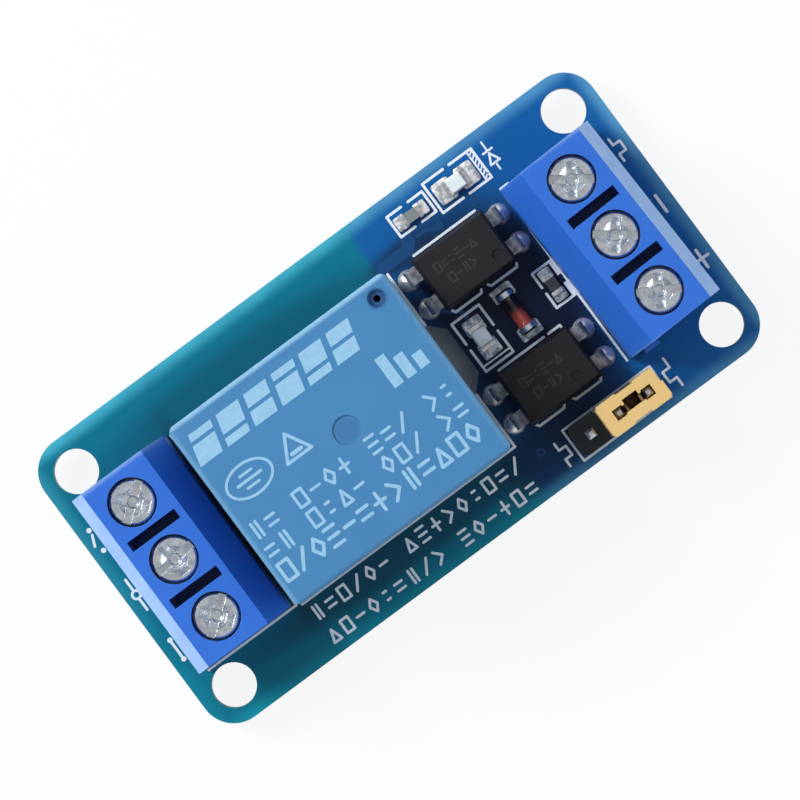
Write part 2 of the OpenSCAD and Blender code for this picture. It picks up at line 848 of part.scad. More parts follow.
// Side view of a housing, wire side to +X
module block_outline() {
    polygon([
        [-block_back, 0], [-block_back, block_h - slope_h], [-flat_back, block_h],
        [flat_front, block_h], [block_front, block_h - bevel_h], [block_front, 0]
    ]);
}

// Room for one pole: screw well, clamp cavity, wire entry and the slot for the strip
module pole_room() {
    slot_back = strip_back + fit;
    translate([0, 0, cavity_top - cut]) cylinder(h = block_h, d = well_d);
    post(0, 0, [cavity_l, cavity_w], -cut, cavity_top);
    translate([-slot_back, -leg_w / 2 - fit, -cut])
        cube([slot_back, leg_w + 2 * fit, tongue_z + strip_t + fit + cut]);
    translate([block_front, 0, entry_z])
        along(2 * (block_front - cavity_l / 2) + cut)
            rounded_top(entry_w, entry_h, entry_w / 2 - 0.05);
}

module dovetail(grow) {
    polygon([
        [-0.5 - grow, -cut], [0.5 + grow, -cut], [0.7 + grow, 0.4 + grow], [-0.7 - grow, 0.4 + grow]
    ]);
}

module housing(rail) {
    rail_x = flat_back + 0.05;
    rail_h = block_h / 2;
    groove_room = 0.6;
    difference() {
        union() {
            across(block_l) block_outline();
            if (rail)
                translate([-rail_x, -block_l / 2, 0])
                    mirror([0, 1, 0]) linear_extrude(rail_h) dovetail(0);
        }
        for (i = [-1, 0, 1])
            translate([0, i * pole_pitch, 0]) pole_room();
        for (i = [-0.5, 0.5])
            translate([(block_front - block_back) / 2 + 0.4, i * pole_pitch, block_h - slit_depth])
                post(0, 0, [slit_l, slit_w], 0, slit_depth + cut);
        // groove that takes the next block's rail, closed above it
        translate([-rail_x, block_l / 2, -cut])
            mirror([0, 1, 0]) linear_extrude(rail_h + groove_room) dovetail(0.05);
    }
}

module output_housing() {
    color("royalblue") at_block("output") housing(false);
}

module input_housing() {
    color("royalblue") at_block("input") housing(true);
}

// One bent strip: a leg down through the board and a tongue under the screw
module solder_strip() {
    leg_top = tongue_z + strip_t;
    translate([-strip_back, 0, leg_top])
        mirror([1, 0, 0])
            across(tongue_w) elbow(strip_back + 1.25, leg_top, strip_t, 0.1);
    post(-strip_back + strip_t / 2, 0, [strip_t, leg_w], 0, leg_top - 1);
    post(-strip_back + strip_t / 2, 0, strip_pin, -board_t - pin_reach, cut);
}

module strips(side) {
    color("silver")
        for (number = [1:POLES])
            at_pole(side, number) solder_strip();
}

module cage() {
    difference() {
        translate([0, 0, cage_z]) linear_extrude(cage_h) square([cage_l, cage_w], center = true);
        post(0, 0, [cage_l + 2 * cut, window_w], cage_z + cage_floor, cage_z + cage_floor + window_h);
        translate([0, 0, cage_z + cage_h - cage_top - cut])
            cylinder(h = cage_top + 2 * cut, r = thread_d / 2 + thread_fit);
    }
}

module clamp_cage(side, number) {
    color("lightgray") at_pole(side, number) cage();
}

// Screw with a recess for a blade or a cross driver, turned to the given direction
module screw(direction) {
    head_z = cavity_top;
    tip_z = tongue_z + strip_t + tip_gap;
    top = head_z + head_h;
    recess_z = top - driver_depth;
    point = 0.3;
    rim = 0.12;
    slot_t = 0.62;
    cross_t = 0.76;
    cross_r = head_d / 2 - 0.25;
    centre_r = 1.05;
    difference() {
        rotate_extrude()
            polygon([
                [0, tip_z], [thread_d / 2 - point, tip_z], [thread_d / 2, tip_z + point],
                [thread_d / 2, head_z], [head_d / 2, head_z],
                [head_d / 2, top - rim], [head_d / 2 - rim, top],
                [0, top]
            ]);
        rotate([0, 0, direction]) {
            post(0, 0, [head_d + cut, slot_t], recess_z, top + cut);
            // the cross arms and the middle narrow with depth
            along(cross_t)
                polygon([
                    [-cross_r, top + cut], [-cross_r / 2, recess_z],
                    [cross_r / 2, recess_z], [cross_r, top + cut]
                ]);
            translate([0, 0, recess_z - 0.2])
                cylinder(h = driver_depth + 0.2 + cut, r1 = centre_r / 3, r2 = centre_r);
        }
    }
}

module terminal_screw(side, number) {
    slots = side == "input" ? input_slots : output_slots;
    turned = side == "input" ? input_turn : 180;
    color("silver") at_pole(side, number) screw(slots[number - 1] - turned);
}

// ---------------------------------------------------------------- optocouplers

// Bent lead at the +X side, from inside the body down through the board
module opto_lead_shape() {
    row = opto_row / 2 + opto_lead_t / 2;
    inside = opto_l / 2 - 0.5;
    shoulder = 1.2;
    translate([row, 0, opto_lead_z + opto_lead_t])
        across(shoulder) elbow(row - inside, 1.2, opto_lead_t, 0.2);
    post(opto_row / 2, 0, opto_lead, -board_t - pin_reach, opto_lead_z - 0.5);
}

module opto_leads(y) {
    color("silver")
        translate([opto_x, y, board_t])
            for (turn = [0, 180], s = [-1, 1])
                rotate([0, 0, turn]) translate([0, s * opto_pitch / 2, 0]) opto_lead_shape();
}

// Side view of a moulded body: widest where its two halves meet
module opto_outline(l) {
    draft_low = 0.15;
    draft_high = 0.25;
    parting = opto_lead_z + opto_lead_t / 2;
    top = opto_foot + opto_h;
    polygon([
        [draft_low - l / 2, opto_foot], [l / 2 - draft_low, opto_foot], [l / 2, parting],
        [l / 2 - draft_high, top], [draft_high - l / 2, top], [-l / 2, parting]
    ]);
}

// The dot marks the first lead
module opto_body(y, dot) {
    color("dimgray")
        translate([opto_x, y, board_t])
            difference() {
                intersection() {
                    across(opto_w + 1) opto_outline(opto_l);
                    along(opto_l + 1) opto_outline(opto_w);
                }
                for (turn = [0, 180], s = [-1, 1])
                    rotate([0, 0, turn]) translate([0, s * opto_pitch / 2, 0]) opto_lead_shape();
                translate([dot[0], dot[1], opto_foot + opto_h - 0.1]) cylinder(h = 0.2, r = 0.38);
            }
}

// ---------------------------------------------------------------- header and jumper

module header_base() {
    corner = 0.35;
    a = header_pitch / 2;
    b = header_w / 2;
    color("dimgray")
        translate([header_x, header_y, board_t])
            linear_extrude(header_base_h)
                difference() {
                    for (i = [-1, 0, 1])
                        translate([i * header_pitch, 0])
                            polygon([
                                [-a, corner - b], [corner - a, -b], [a - corner, -b], [a, corner - b],
                                [a, b - corner], [a - corner, b], [corner - a, b], [-a, b - corner]
                            ]);
                    for (i = [-1, 0, 1])
                        translate([i * header_pitch, 0])
                            square(header_pin, center = true);
                }
}

module header_pins() {
    color("silver")
        for (i = [-1, 0, 1])
            translate([header_x + i * header_pitch, header_y, 0])
                tapered_pin(header_pin, -pin_reach, board_t + header_h, 0.35);
}

// The jumper joins the middle pin to the pin nearest the input block
module at_jumper() {
    translate([header_x + header_pitch / 2, header_y, board_t + header_base_h + 0.05]) children();
}

module jumper_cap() {
    chamfer = 0.22;
    notch_l = 1.5;
    notch_d = 0.12;
    window = [1.25, 0.7];
    gap_w = 0.6;
    lid_t = 0.7;
    a = jumper_l / 2;
    b = jumper_w / 2;
    color("goldenrod")
        at_jumper()
            difference() {
                linear_extrude(jumper_h)
                    difference() {
                        polygon([
                            [chamfer - a, -b], [a - chamfer, -b], [a, chamfer - b],
                            [a, b - chamfer], [a - chamfer, b], [chamfer - a, b],
                            [-a, b - chamfer], [-a, chamfer - b]
                        ]);
                        for (s = [-1, 1])
                            translate([0, s * b])
                                square([notch_l, 2 * notch_d], center = true);
                        // the end is a little narrower on the far side
                        translate([a - 0.15, 0.1]) square([1, b]);
                    }
                // the pins' rooms, open at the top
                for (s = [-1, 1])
                    post(s * header_pitch / 2, 0, [pin_room, pin_room], -cut, jumper_h + cut);
                // the clip's room between them
                post(0, 0, [header_pitch, clip_w + 2 * fit], -cut, jumper_h - lid_t);
                post(0, 0, [header_pitch, gap_w], -cut, jumper_h + cut);
                post(0, gap_w / 2, window, -cut, jumper_h + cut);
            }
}

// Spring clip that bridges the two pins: two leaves joined at the bottom
module jumper_clip() {
    face = header_pitch / 2 - header_pin / 2 - 0.04;
    low = 0.5;
    straight = 3.5;
    high = jumper_h - 0.35;
    lean = 0.2;
    bend = 0.25;
    tab_w = 0.5;
    color("silver")
        at_jumper()
            intersection() {
                across(clip_w)
                    for (m = [0, 1])
                        mirror([m, 0]) {
                            translate([face, low]) mirror([0, 1]) elbow(face, straight, clip_t, bend);
                            polygon([
                                [face, low + straight - cut], [face, low + straight],
                                [face - lean, high], [face - lean - clip_t, high],
                                [face - clip_t, low + straight],
                                [face - clip_t, low + straight - cut]
                            ]);
                        }
                // the tops narrow to tabs that show in the cap's window
                union() {
                    post(0, 0, [header_pitch, clip_w], 0, low + straight);
                    post(0, 0, [header_pitch, tab_w], 0, jumper_h);
                }
            }
}

// ---------------------------------------------------------------- chips and diode

// A light: a flat base with plated ends, and a lens cast on its middle
module light_base() {
    translate([0, 0, pad_t + light_base_h / 2])
        cube([light_size[0], light_size[1], light_base_h], center = true);
}

module light_lens() {
    foot_l = light_size[0] - 2 * chip_end;
    top_l = foot_l - 0.2;
    top = pad_t + light_size[2];
    intersection() {
        across(light_size[1])
            polygon([
                [-foot_l / 2, pad_t + light_base_h], [foot_l / 2, pad_t + light_base_h],
                [top_l / 2, top], [-top_l / 2, top]
            ]);
        along(foot_l) translate([0, pad_t]) rounded_top(light_size[1] - 0.06, light_size[2], 0.15);
    }
}

module resistor_body() {
    l = resistor_size[0] - 2 * chip_end;
    translate([0, 0, pad_t + resistor_size[2] / 2])
        cube([l, resistor_size[1], resistor_size[2] - 0.04], center = true);
}

module resistor_ends() {
    for (s = [-1, 1])
        translate([s * (resistor_size[0] - chip_end) / 2, 0, pad_t + resistor_size[2] / 2])
            cube([chip_end, resistor_size[1], resistor_size[2]], center = true);
}

// The diode lies along X, on its two metal ends
module at_diode() {
    at_chip(diode_x, middle_y, 90)
        translate([0, 0, pad_t + diode_d / 2]) rotate([0, 90, 0]) children();
}

module diode_glass() {
    glass_l = diode_l - 2 * diode_cap;
    waist = 0.08;
    color("firebrick")
        at_diode()
            rotate_extrude()
                polygon([
                    [0, -glass_l / 2], [diode_d / 2 - waist, -glass_l / 2],
                    [diode_d / 2 - 2 * waist, 0.35 - glass_l / 2],
                    [diode_d / 2 - 2 * waist, glass_l / 2 - 0.35],
                    [diode_d / 2 - waist, glass_l / 2], [0, glass_l / 2]
                ]);
}

module diode_ends() {
    r = diode_d / 2;
    rim = 0.15;
    color("silver")
        at_diode()
            for (m = [0, 1])
                mirror([0, 0, m])
                    rotate_extrude()
                        polygon([
                            [0, diode_l / 2 - diode_cap], [r, diode_l / 2 - diode_cap],
                            [r, diode_l / 2 - rim], [r - rim, diode_l / 2], [0, diode_l / 2]
                        ]);
}

// ---------------------------------------------------------------- nodes

circuit_board();
solder_joints();
chip_pads();
relay_cover();
relay_base();
relay_bobbin();
relay_coil();
relay_core();
relay_yoke();
relay_armature();
relay_spring();
relay_moving_contact();
relay_closed_contact();
relay_open_contact();
relay_fixed_rivets();
relay_common_pin();
relay_coil_pins();
output_housing();
strips("output");  // output_strips
terminal_screw("output", 1);  // output_screw_1
terminal_screw("output", 2);  // output_screw_2
terminal_screw("output", 3);  // output_screw_3
clamp_cage("output", 1);  // output_cage_1
clamp_cage("output", 2);  // output_cage_2
clamp_cage("output", 3);  // output_cage_3
input_housing();
strips("input");  // input_strips
terminal_screw("input", 1);  // input_screw_1
terminal_screw("input", 2);  // input_screw_2
terminal_screw("input", 3);  // input_screw_3
clamp_cage("input", 1);  // input_cage_1
clamp_cage("input", 2);  // input_cage_2
clamp_cage("input", 3);  // input_cage_3
opto_body(opto_1_y, [2.2, -1.1]);  // opto_1_body
opto_leads(opto_1_y);  // opto_1_leads
opto_body(opto_2_y, [1.6, -1.15]);  // opto_2_body
opto_leads(opto_2_y);  // opto_2_leads
header_base();
header_pins();
jumper_cap();
jumper_clip();
color("linen") at_chip(power_light_x, light_y, 0) light_base();  // power_light_base
color("honeydew") at_chip(power_light_x, light_y, 0) light_lens();  // power_light_lens
color("linen") at_chip(relay_light_x, middle_y, 90) light_base();  // relay_light_base
color("lightgray") at_chip(relay_light_x, middle_y, 90) light_lens();  // relay_light_lens
color("dimgray") at_chip(resistor_1_x, light_y, 0) resistor_body();  // resistor_1_body
color("silver") at_chip(resistor_1_x, light_y, 0) resistor_ends();  // resistor_1_ends
color("dimgray") at_chip(resistor_2_x, middle_y, 90) resistor_body();  // resistor_2_body
color("silver") at_chip(resistor_2_x, middle_y, 90) resistor_ends();  // resistor_2_ends
diode_glass();
diode_ends();
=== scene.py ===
"""Relay module board: finishes, printing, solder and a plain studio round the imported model."""

import math

import bmesh
import bpy
from mathutils import Matrix, Vector


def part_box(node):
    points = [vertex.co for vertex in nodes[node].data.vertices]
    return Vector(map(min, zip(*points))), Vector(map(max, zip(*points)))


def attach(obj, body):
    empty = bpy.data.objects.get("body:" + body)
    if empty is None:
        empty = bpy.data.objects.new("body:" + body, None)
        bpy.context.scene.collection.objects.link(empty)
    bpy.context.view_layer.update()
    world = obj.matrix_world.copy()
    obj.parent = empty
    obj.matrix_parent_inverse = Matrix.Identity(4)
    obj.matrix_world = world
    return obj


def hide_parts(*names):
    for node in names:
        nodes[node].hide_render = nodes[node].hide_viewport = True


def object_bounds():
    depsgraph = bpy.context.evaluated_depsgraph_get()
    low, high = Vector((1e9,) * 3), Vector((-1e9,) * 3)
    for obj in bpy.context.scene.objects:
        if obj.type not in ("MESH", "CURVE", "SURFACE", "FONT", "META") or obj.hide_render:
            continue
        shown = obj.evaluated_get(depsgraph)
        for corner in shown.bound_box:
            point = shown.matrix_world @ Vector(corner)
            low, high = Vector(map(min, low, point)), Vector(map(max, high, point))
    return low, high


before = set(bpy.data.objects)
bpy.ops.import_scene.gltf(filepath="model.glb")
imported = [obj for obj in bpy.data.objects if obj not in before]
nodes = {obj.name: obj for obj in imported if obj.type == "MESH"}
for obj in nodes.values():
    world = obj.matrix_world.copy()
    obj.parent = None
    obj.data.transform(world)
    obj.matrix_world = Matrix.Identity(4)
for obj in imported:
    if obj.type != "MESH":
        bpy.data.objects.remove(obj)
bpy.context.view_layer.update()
MM = 0.001


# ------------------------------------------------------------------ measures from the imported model


def corners(node):
    """Lowest and highest corner of a node, in millimetres."""
    low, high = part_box(node)
    return low / MM, high / MM


def middle(node):
    low, high = corners(node)
    return (low + high) / 2


BOARD_LOW, BOARD_HIGH = corners("circuit_board")
BOARD_TOP = BOARD_HIGH.z
RELAY_LOW, RELAY_HIGH = corners("relay_cover")
POLES = (1, 2, 3)
PIN_PITCH = 2.54
LEAD_REACH = 4.1  # from an optocoupler's middle to a row of its leads


# ------------------------------------------------------------------ how finishes are written


def ink(r, g, b):
    """A colour given as it looks on screen, 0 to 255, made linear."""
    def lin(v):
        v /= 255
        return v / 12.92 if v <= 0.04045 else ((v + 0.055) / 1.055) ** 2.4

    return (lin(r), lin(g), lin(b), 1.0)


class Shading:
    """A tree of shader nodes that is written as a chain of short calls."""

    def __init__(self, tree):
        self.tree = tree

    def add(self, kind, **settings):
        node = self.tree.nodes.new(kind)
        for key, value in settings.items():
            setattr(node, key, value)
        return node

    def feed(self, socket, value):
        """Links an output to the socket, or writes a plain value on it."""
        if isinstance(value, bpy.types.NodeSocket):
            self.tree.links.new(value, socket)
        else:
            socket.default_value = value

    def vector(self, operation, a, b=None, scale=None):
        node = self.add("ShaderNodeVectorMath", operation=operation)
        self.feed(node.inputs[0], a)
        if b is not None:
            self.feed(node.inputs[1], b)
        if scale is not None:
            node.inputs["Scale"].default_value = scale
        return node.outputs["Value" if operation == "LENGTH" else "Vector"]

    def math(self, operation, a, b=0.0, c=0.0, clamp=False):
        node = self.add("ShaderNodeMath", operation=operation, use_clamp=clamp)
        for socket, value in zip(node.inputs, (a, b, c)):
            self.feed(socket, value)
        return node.outputs[0]

    def fade(self, value, low, high):
        """0 at low and 1 at high, smooth between them."""
        node = self.add("ShaderNodeMapRange", interpolation_type="SMOOTHSTEP")
        self.feed(node.inputs["Value"], value)
        node.inputs["From Min"].default_value = low
        node.inputs["From Max"].default_value = high
        return node.outputs["Result"]

    def blend(self, value, low, high):
        """A number that runs from low to high as value runs from 0 to 1."""
        return self.math("MULTIPLY_ADD", value, high - low, low)

    def part(self, vector, letter):
        """The X, Y or Z of a vector."""
        node = self.add("ShaderNodeSeparateXYZ")
        self.feed(node.inputs[0], vector)
        return node.outputs[letter]

    def mix_shaders(self, share, a, b):
        node = self.add("ShaderNodeMixShader")
        for socket, value in zip(node.inputs, (share, a, b)):
            self.feed(socket, value)
        return node.outputs[0]


class Finish(Shading):
    """A piece's material. Its lengths are in millimetres."""

    def __init__(self, name, colour, roughness, metallic=0.0, **sockets):
        self.material = bpy.data.materials.new(name)
        self.material.use_nodes = True
        self.material.diffuse_color = colour
        super().__init__(self.material.node_tree)
        self.shader = self.tree.nodes["Principled BSDF"]
        self.shader.inputs["Roughness"].default_value = roughness
        self.shader.inputs["Metallic"].default_value = metallic
        self.shader.inputs["Base Color"].default_value = colour
        for socket, value in sockets.items():
            self.shader.inputs[socket.replace("_", " ")].default_value = value
        where = self.add("ShaderNodeTexCoord").outputs["Object"]
        self.place = self.vector("SCALE", where, scale=1 / MM)
        self.shade = colour

    def axis(self, letter):
        return self.part(self.place, letter)

    def away_from(self, x, y, long_x=1.0, long_y=1.0):
        """Distance from an upright line at x, y, counted in the half axes of an oval."""
        off = self.vector("SUBTRACT", self.place, (x, y, 0))
        return self.vector("LENGTH", self.vector("MULTIPLY", off, (1 / long_x, 1 / long_y, 0)))

    def near_sides(self, low, high, reach, full, shares):
        """Rises towards the sides of a box, from 0 a reach inside them to each side's own share.

        The sides come in the order far, right, left and near.
        """
        x, y = self.axis("X"), self.axis("Y")
        sides = (
            self.math("SUBTRACT", high.y, y),
            self.math("SUBTRACT", high.x, x),
            self.math("SUBTRACT", x, low.x),
            self.math("SUBTRACT", y, low.y),
        )
        rise = 0.0
        for away, share in zip(sides, shares):
            here = self.math("MULTIPLY", self.fade(away, reach, full), share)
            rise = self.math("MAXIMUM", rise, here)
        return rise

    def noise(self, size, detail=2.0, rough=0.5, stretch=None):
        """Soft noise from 0 to 1 whose blotches are about size millimetres wide."""
        node = self.add("ShaderNodeTexNoise")
        where = self.place if stretch is None else self.vector("MULTIPLY", self.place, stretch)
        self.feed(node.inputs["Vector"], where)
        node.inputs["Scale"].default_value = 1 / size
        node.inputs["Detail"].default_value = detail
        node.inputs["Roughness"].default_value = rough
        return node.outputs["Fac"]

    def mix(self, share, a, b):
        """Colour a where share is 0, colour b where it is 1."""
        node = self.add("ShaderNodeMix", data_type="RGBA", clamp_factor=True)
        for name, value in (("Factor", share), ("A", a), ("B", b)):
            wanted = "VALUE" if name == "Factor" else "RGBA"
            socket = next(s for s in node.inputs if s.name == name and s.type == wanted)
            self.feed(socket, value)
        return next(s for s in node.outputs if s.type == "RGBA")

    def colour(self, value):
        self.shade = value
        self.feed(self.shader.inputs["Base Color"], value)
        return self

    def roughness(self, value):
        self.feed(self.shader.inputs["Roughness"], value)
        return self

    def relief(self, height, depth, edge=0.0):
        """Raises the surface by depth where height is 1, and rounds what edges show by a radius."""
        bump = self.add("ShaderNodeBump")
        bump.inputs["Distance"].default_value = depth * MM
        self.feed(bump.inputs["Height"], height)
        if edge:
            bevel = self.add("ShaderNodeBevel", samples=4)
            bevel.inputs["Radius"].default_value = edge * MM
            self.feed(bump.inputs["Normal"], bevel.outputs["Normal"])
        self.feed(self.shader.inputs["Normal"], bump.outputs["Normal"])
        return self


def printed(name, colour, light, dark, roughness, size, detail=3):
    """Printing ink that is a little thinner in places."""
    f = Finish(name, colour, roughness)
    return f.colour(f.mix(f.noise(size, detail), light, dark))


def plastic(name, colour, other, roughness, edge=0.08, grain=0.12, depth=0.004, **sockets):
    """Moulded plastic: a slow drift of colour, fine grain and softened edges."""
    f = Finish(name, colour, roughness, **sockets)
    f.colour(f.mix(f.noise(4.5, 2), colour, other))
    f.roughness(f.blend(f.noise(0.9, 3), roughness - 0.06, roughness + 0.08))
    return f.relief(f.noise(grain, 2), depth, edge)


def metal(name, colour, other, roughness, size=0.6, depth=0.01, edge=0.04, spread=0.14,
          metallic=1.0):
    """Plated or bare metal: cloudy, with small dents."""
    f = Finish(name, colour, roughness, metallic)
    f.colour(f.mix(f.fade(f.noise(size, 4, 0.6), 0.35, 0.65), colour, other))
    f.roughness(f.blend(f.noise(size * 0.7, 3), roughness, roughness + spread))
    return f.relief(f.noise(size * 0.45, 3), depth, edge)


# ------------------------------------------------------------------ patterned finishes


def board_finish():
    """Solder mask, teal over bare laminate and bluer over copper, on a pale green core."""
    f = Finish("solder_mask", ink(22, 96, 132), 0.32, Specular_IOR_Level=0.14)
    x, y = f.axis("X"), f.axis("Y")
    laminate = f.mix(f.fade(y, -12, 11), ink(7, 108, 132), ink(8, 114, 138))
    laminate = f.mix(f.noise(7, 1), laminate, ink(2, 112, 134))
    copper = f.mix(f.fade(y, -12, 12), ink(20, 102, 170), ink(16, 96, 160))
    copper = f.mix(f.noise(9, 1), copper, ink(12, 88, 154))
    # the copper starts at a ragged seam beside the relay
    ragged_x = f.math("MULTIPLY_ADD", f.noise(2.5, 1), 0.8, x)
    mask = f.mix(f.fade(ragged_x, 4.3, 5.0), laminate, copper)
    # painted shade on the top, each an oval: its middle, half axes, colour and share
    top_side = f.fade(f.axis("Z"), BOARD_TOP * 0.25, BOARD_TOP * 0.75)
    for oval_x, oval_y, long_x, long_y, shade, share in (
        (10.2, 0.2, 7.2, 9.6, ink(14, 20, 44), 0.96),  # between the optocouplers
        (-5.0, -9.0, 15.0, 1.8, ink(6, 54, 78), 0.72),  # on the relay's near side
        (7.5, -9.8, 5.5, 3.2, ink(8, 38, 72), 0.8),  # beside the header
        (6.6, 8.3, 3.4, 1.1, ink(24, 48, 84), 0.8),  # by the first optocoupler
        (-14.9, 0.0, 1.2, 9.0, ink(10, 24, 40), 0.8),  # between the output block and the relay
        (-8.5, 8.4, 14.0, 2.4, ink(8, 68, 88), 0.5),  # on the relay's far side
    ):
        near = f.fade(f.away_from(oval_x, oval_y, long_x, long_y), 1.25, 0.55)
        near = f.math("MULTIPLY", near, f.math("MULTIPLY", top_side, share))
        mask = f.mix(near, mask, shade)
    # the milled rim shows pale through the mask, with a painted highlight on it, most along the far
    # side and the input end
    rim_highlight = f.near_sides(BOARD_LOW, BOARD_HIGH, 1.25, 0.0, (1.1, 1.15, 0.42, 0.85))
    rim_highlight = f.math("MULTIPLY", rim_highlight, f.blend(f.noise(2.2, 2), 0.55, 1.25), clamp=True)
    teal_highlight = f.mix(f.fade(y, -8, 6), ink(16, 142, 162), ink(66, 174, 194))
    mask = f.mix(rim_highlight, mask, f.mix(f.fade(x, 2, 8), teal_highlight, ink(80, 148, 192)))
    # the board's cut sides show its layers
    layers = f.noise(0.22, 2, stretch=(0.3, 0.3, 6))
    core = f.mix(layers, ink(150, 176, 150), ink(196, 206, 172))
    normal = f.add("ShaderNodeNewGeometry").outputs["Normal"]
    level = f.fade(f.math("ABSOLUTE", f.part(normal, "Z")), 0.4, 0.6)
    f.colour(f.mix(level, core, mask))
    f.roughness(f.blend(f.noise(1.6), 0.28, 0.42))
    return f.relief(f.noise(0.5, 3), 0.006)


def copper_mask_finish():
    """Mask where a track lies under it."""
    f = Finish("mask_over_copper", ink(14, 70, 122), 0.34, Specular_IOR_Level=0.25)
    f.colour(f.mix(f.noise(2.4, 1), ink(12, 62, 110), ink(16, 78, 132)))
    return f.relief(f.noise(0.5, 3), 0.006)


def cover_finish():
    """The relay's moulded cover: satin, with a painted highlight along its rounded rim and painted
    shade in its two recesses.
    """
    f = plastic("relay_blue", ink(67, 131, 182), ink(60, 124, 176), 0.5,
                edge=0.14, grain=0.16, depth=0.005, Specular_IOR_Level=0.35)
    top = RELAY_HIGH.z
    # painted highlight along the top of the rounded rim, strongest on the far side
    rim_highlight = f.near_sides(RELAY_LOW, RELAY_HIGH, 0.5, 0.08, (0.6, 0.25, 0.25, 0.06))
    rim_highlight = f.math("MULTIPLY", rim_highlight, f.blend(f.noise(1.1, 3), 0.6, 1.3))
    rim_highlight = f.math("MULTIPLY", rim_highlight, f.fade(f.axis("Z"), top - 1.2, top - 0.2))
    shade = f.mix(rim_highlight, f.shade, ink(158, 204, 228))
    mid = middle("relay_cover")
    # painted shade in the gate mark and the vent: middle, inner and outer radius, share
    for x, y, inner, outer, share in (
        (mid.x + 0.8, mid.y + 0.2, 0.7, 1.12, 0.3),  # gate mark
        (RELAY_HIGH.x - 1.5, RELAY_HIGH.y - 1.35, 0.4, 0.95, 0.85),  # vent
    ):
        near = f.math("MULTIPLY", f.fade(f.away_from(x, y), outer, inner), share)
        shade = f.mix(near, shade, ink(30, 70, 120))
    return f.colour(shade)


def terminal_finish():
    """Glossy blue nylon, with a painted highlight along the bevel over the wire entries and at the
    ends.
    """
    f = plastic("terminal_blue", ink(42, 104, 206), ink(50, 114, 214), 0.3,
                edge=0.07, grain=0.3, depth=0.003, Subsurface_Weight=0.04, Specular_IOR_Level=0.35)
    x, y, z = f.axis("X"), f.axis("Y"), f.axis("Z")
    facing = f.add("ShaderNodeNewGeometry").outputs["True Normal"]
    outward = f.math("MULTIPLY", f.part(facing, "X"), f.math("SIGN", x))
    upward = f.part(facing, "Z")
    # painted highlight: pale on the bevel over the wire entries and along the block's ends
    bevel = f.math("MULTIPLY", f.fade(outward, 0.45, 0.6), f.fade(upward, 0.2, 0.4))
    bevel = f.math("MULTIPLY", bevel, f.fade(z, 8.0, 9.0))
    block_end = corners("input_housing")[1].y
    end = f.fade(f.math("ABSOLUTE", y), block_end - 0.4, block_end)
    end = f.math("MULTIPLY", f.math("MULTIPLY", end, 0.5), f.fade(z, 7.0, 9.0))
    painted_highlight = f.math("MAXIMUM", bevel, end)
    painted_highlight = f.math("MULTIPLY", painted_highlight, f.blend(f.noise(1.3, 2), 0.62, 0.95))
    return f.colour(f.mix(painted_highlight, f.shade, ink(170, 204, 246)))


def chip_solder_finish():
    """Crinkled solder on the chips' pads, with painted shade on the row between the optocouplers."""
    f = Finish("chip_solder", ink(226, 228, 230), 0.34, 0.7)
    # painted shade: lit solder colours give way to shaded ones in the row between the optocouplers
    painted_shade = f.fade(f.axis("Y"), 6, 4)
    clouds = f.fade(f.noise(0.42, 3, 0.6), 0.4, 0.62)
    bright = f.mix(clouds, ink(172, 177, 180), ink(249, 250, 250))
    dim = f.mix(clouds, ink(130, 141, 149), ink(204, 212, 218))
    f.colour(f.mix(painted_shade, bright, dim))
    f.roughness(f.blend(f.noise(0.5, 3), 0.22, 0.5))
    return f.relief(f.noise(0.34, 2), 0.05)


def winding_finish():
    """Enamelled wire, wound in layers of fine turns round an upright core."""
    f = Finish("enamelled_wire", ink(176, 84, 40), 0.25, 0.9)
    pitch = 0.09
    turns = f.math("SINE", f.math("MULTIPLY", f.axis("Z"), 2 * math.pi / pitch))
    # painted shade in the grooves between turns and paler crowns, on the same waves as the relief
    f.colour(f.mix(f.fade(turns, -1, 1), ink(120, 48, 22), ink(206, 108, 56)))
    return f.relief(turns, 0.01)


def lens_finish(name, colour, other):
    """A light's lens: clear resin, clouded by what glows inside."""
    f = Finish(name, colour, 0.22, Subsurface_Weight=0.25)
    f.shader.inputs["Subsurface Radius"].default_value = (0.0006, 0.0006, 0.0005)
    f.colour(f.mix(f.noise(0.6, 2), colour, other))
    return f.relief(f.noise(0.3), 0.004, 0.06)


def diode_glass_finish():
    """Clear glass, red at one end and dark at the other."""
    f = Finish("diode_glass", ink(176, 60, 44), 0.06, Transmission_Weight=0.55, IOR=1.5)
    return f.colour(f.mix(f.fade(f.axis("Y"), -0.7, 0.4), ink(214, 94, 78), ink(34, 20, 22)))


# ------------------------------------------------------------------ finishes, and what wears them


mask = board_finish()
copper_mask = copper_mask_finish()
white_ink = printed("white_ink", ink(226, 232, 236), ink(244, 251, 255), ink(216, 229, 240),
                    0.55, size=0.35)
pale_ink = printed("pale_ink", ink(160, 205, 232), ink(154, 202, 231), ink(126, 178, 214),
                   0.6, size=0.5)
faint_ink = printed("faint_ink", ink(34, 34, 39), ink(40, 40, 46), ink(25, 25, 29),
                    0.65, size=0.3, detail=2)

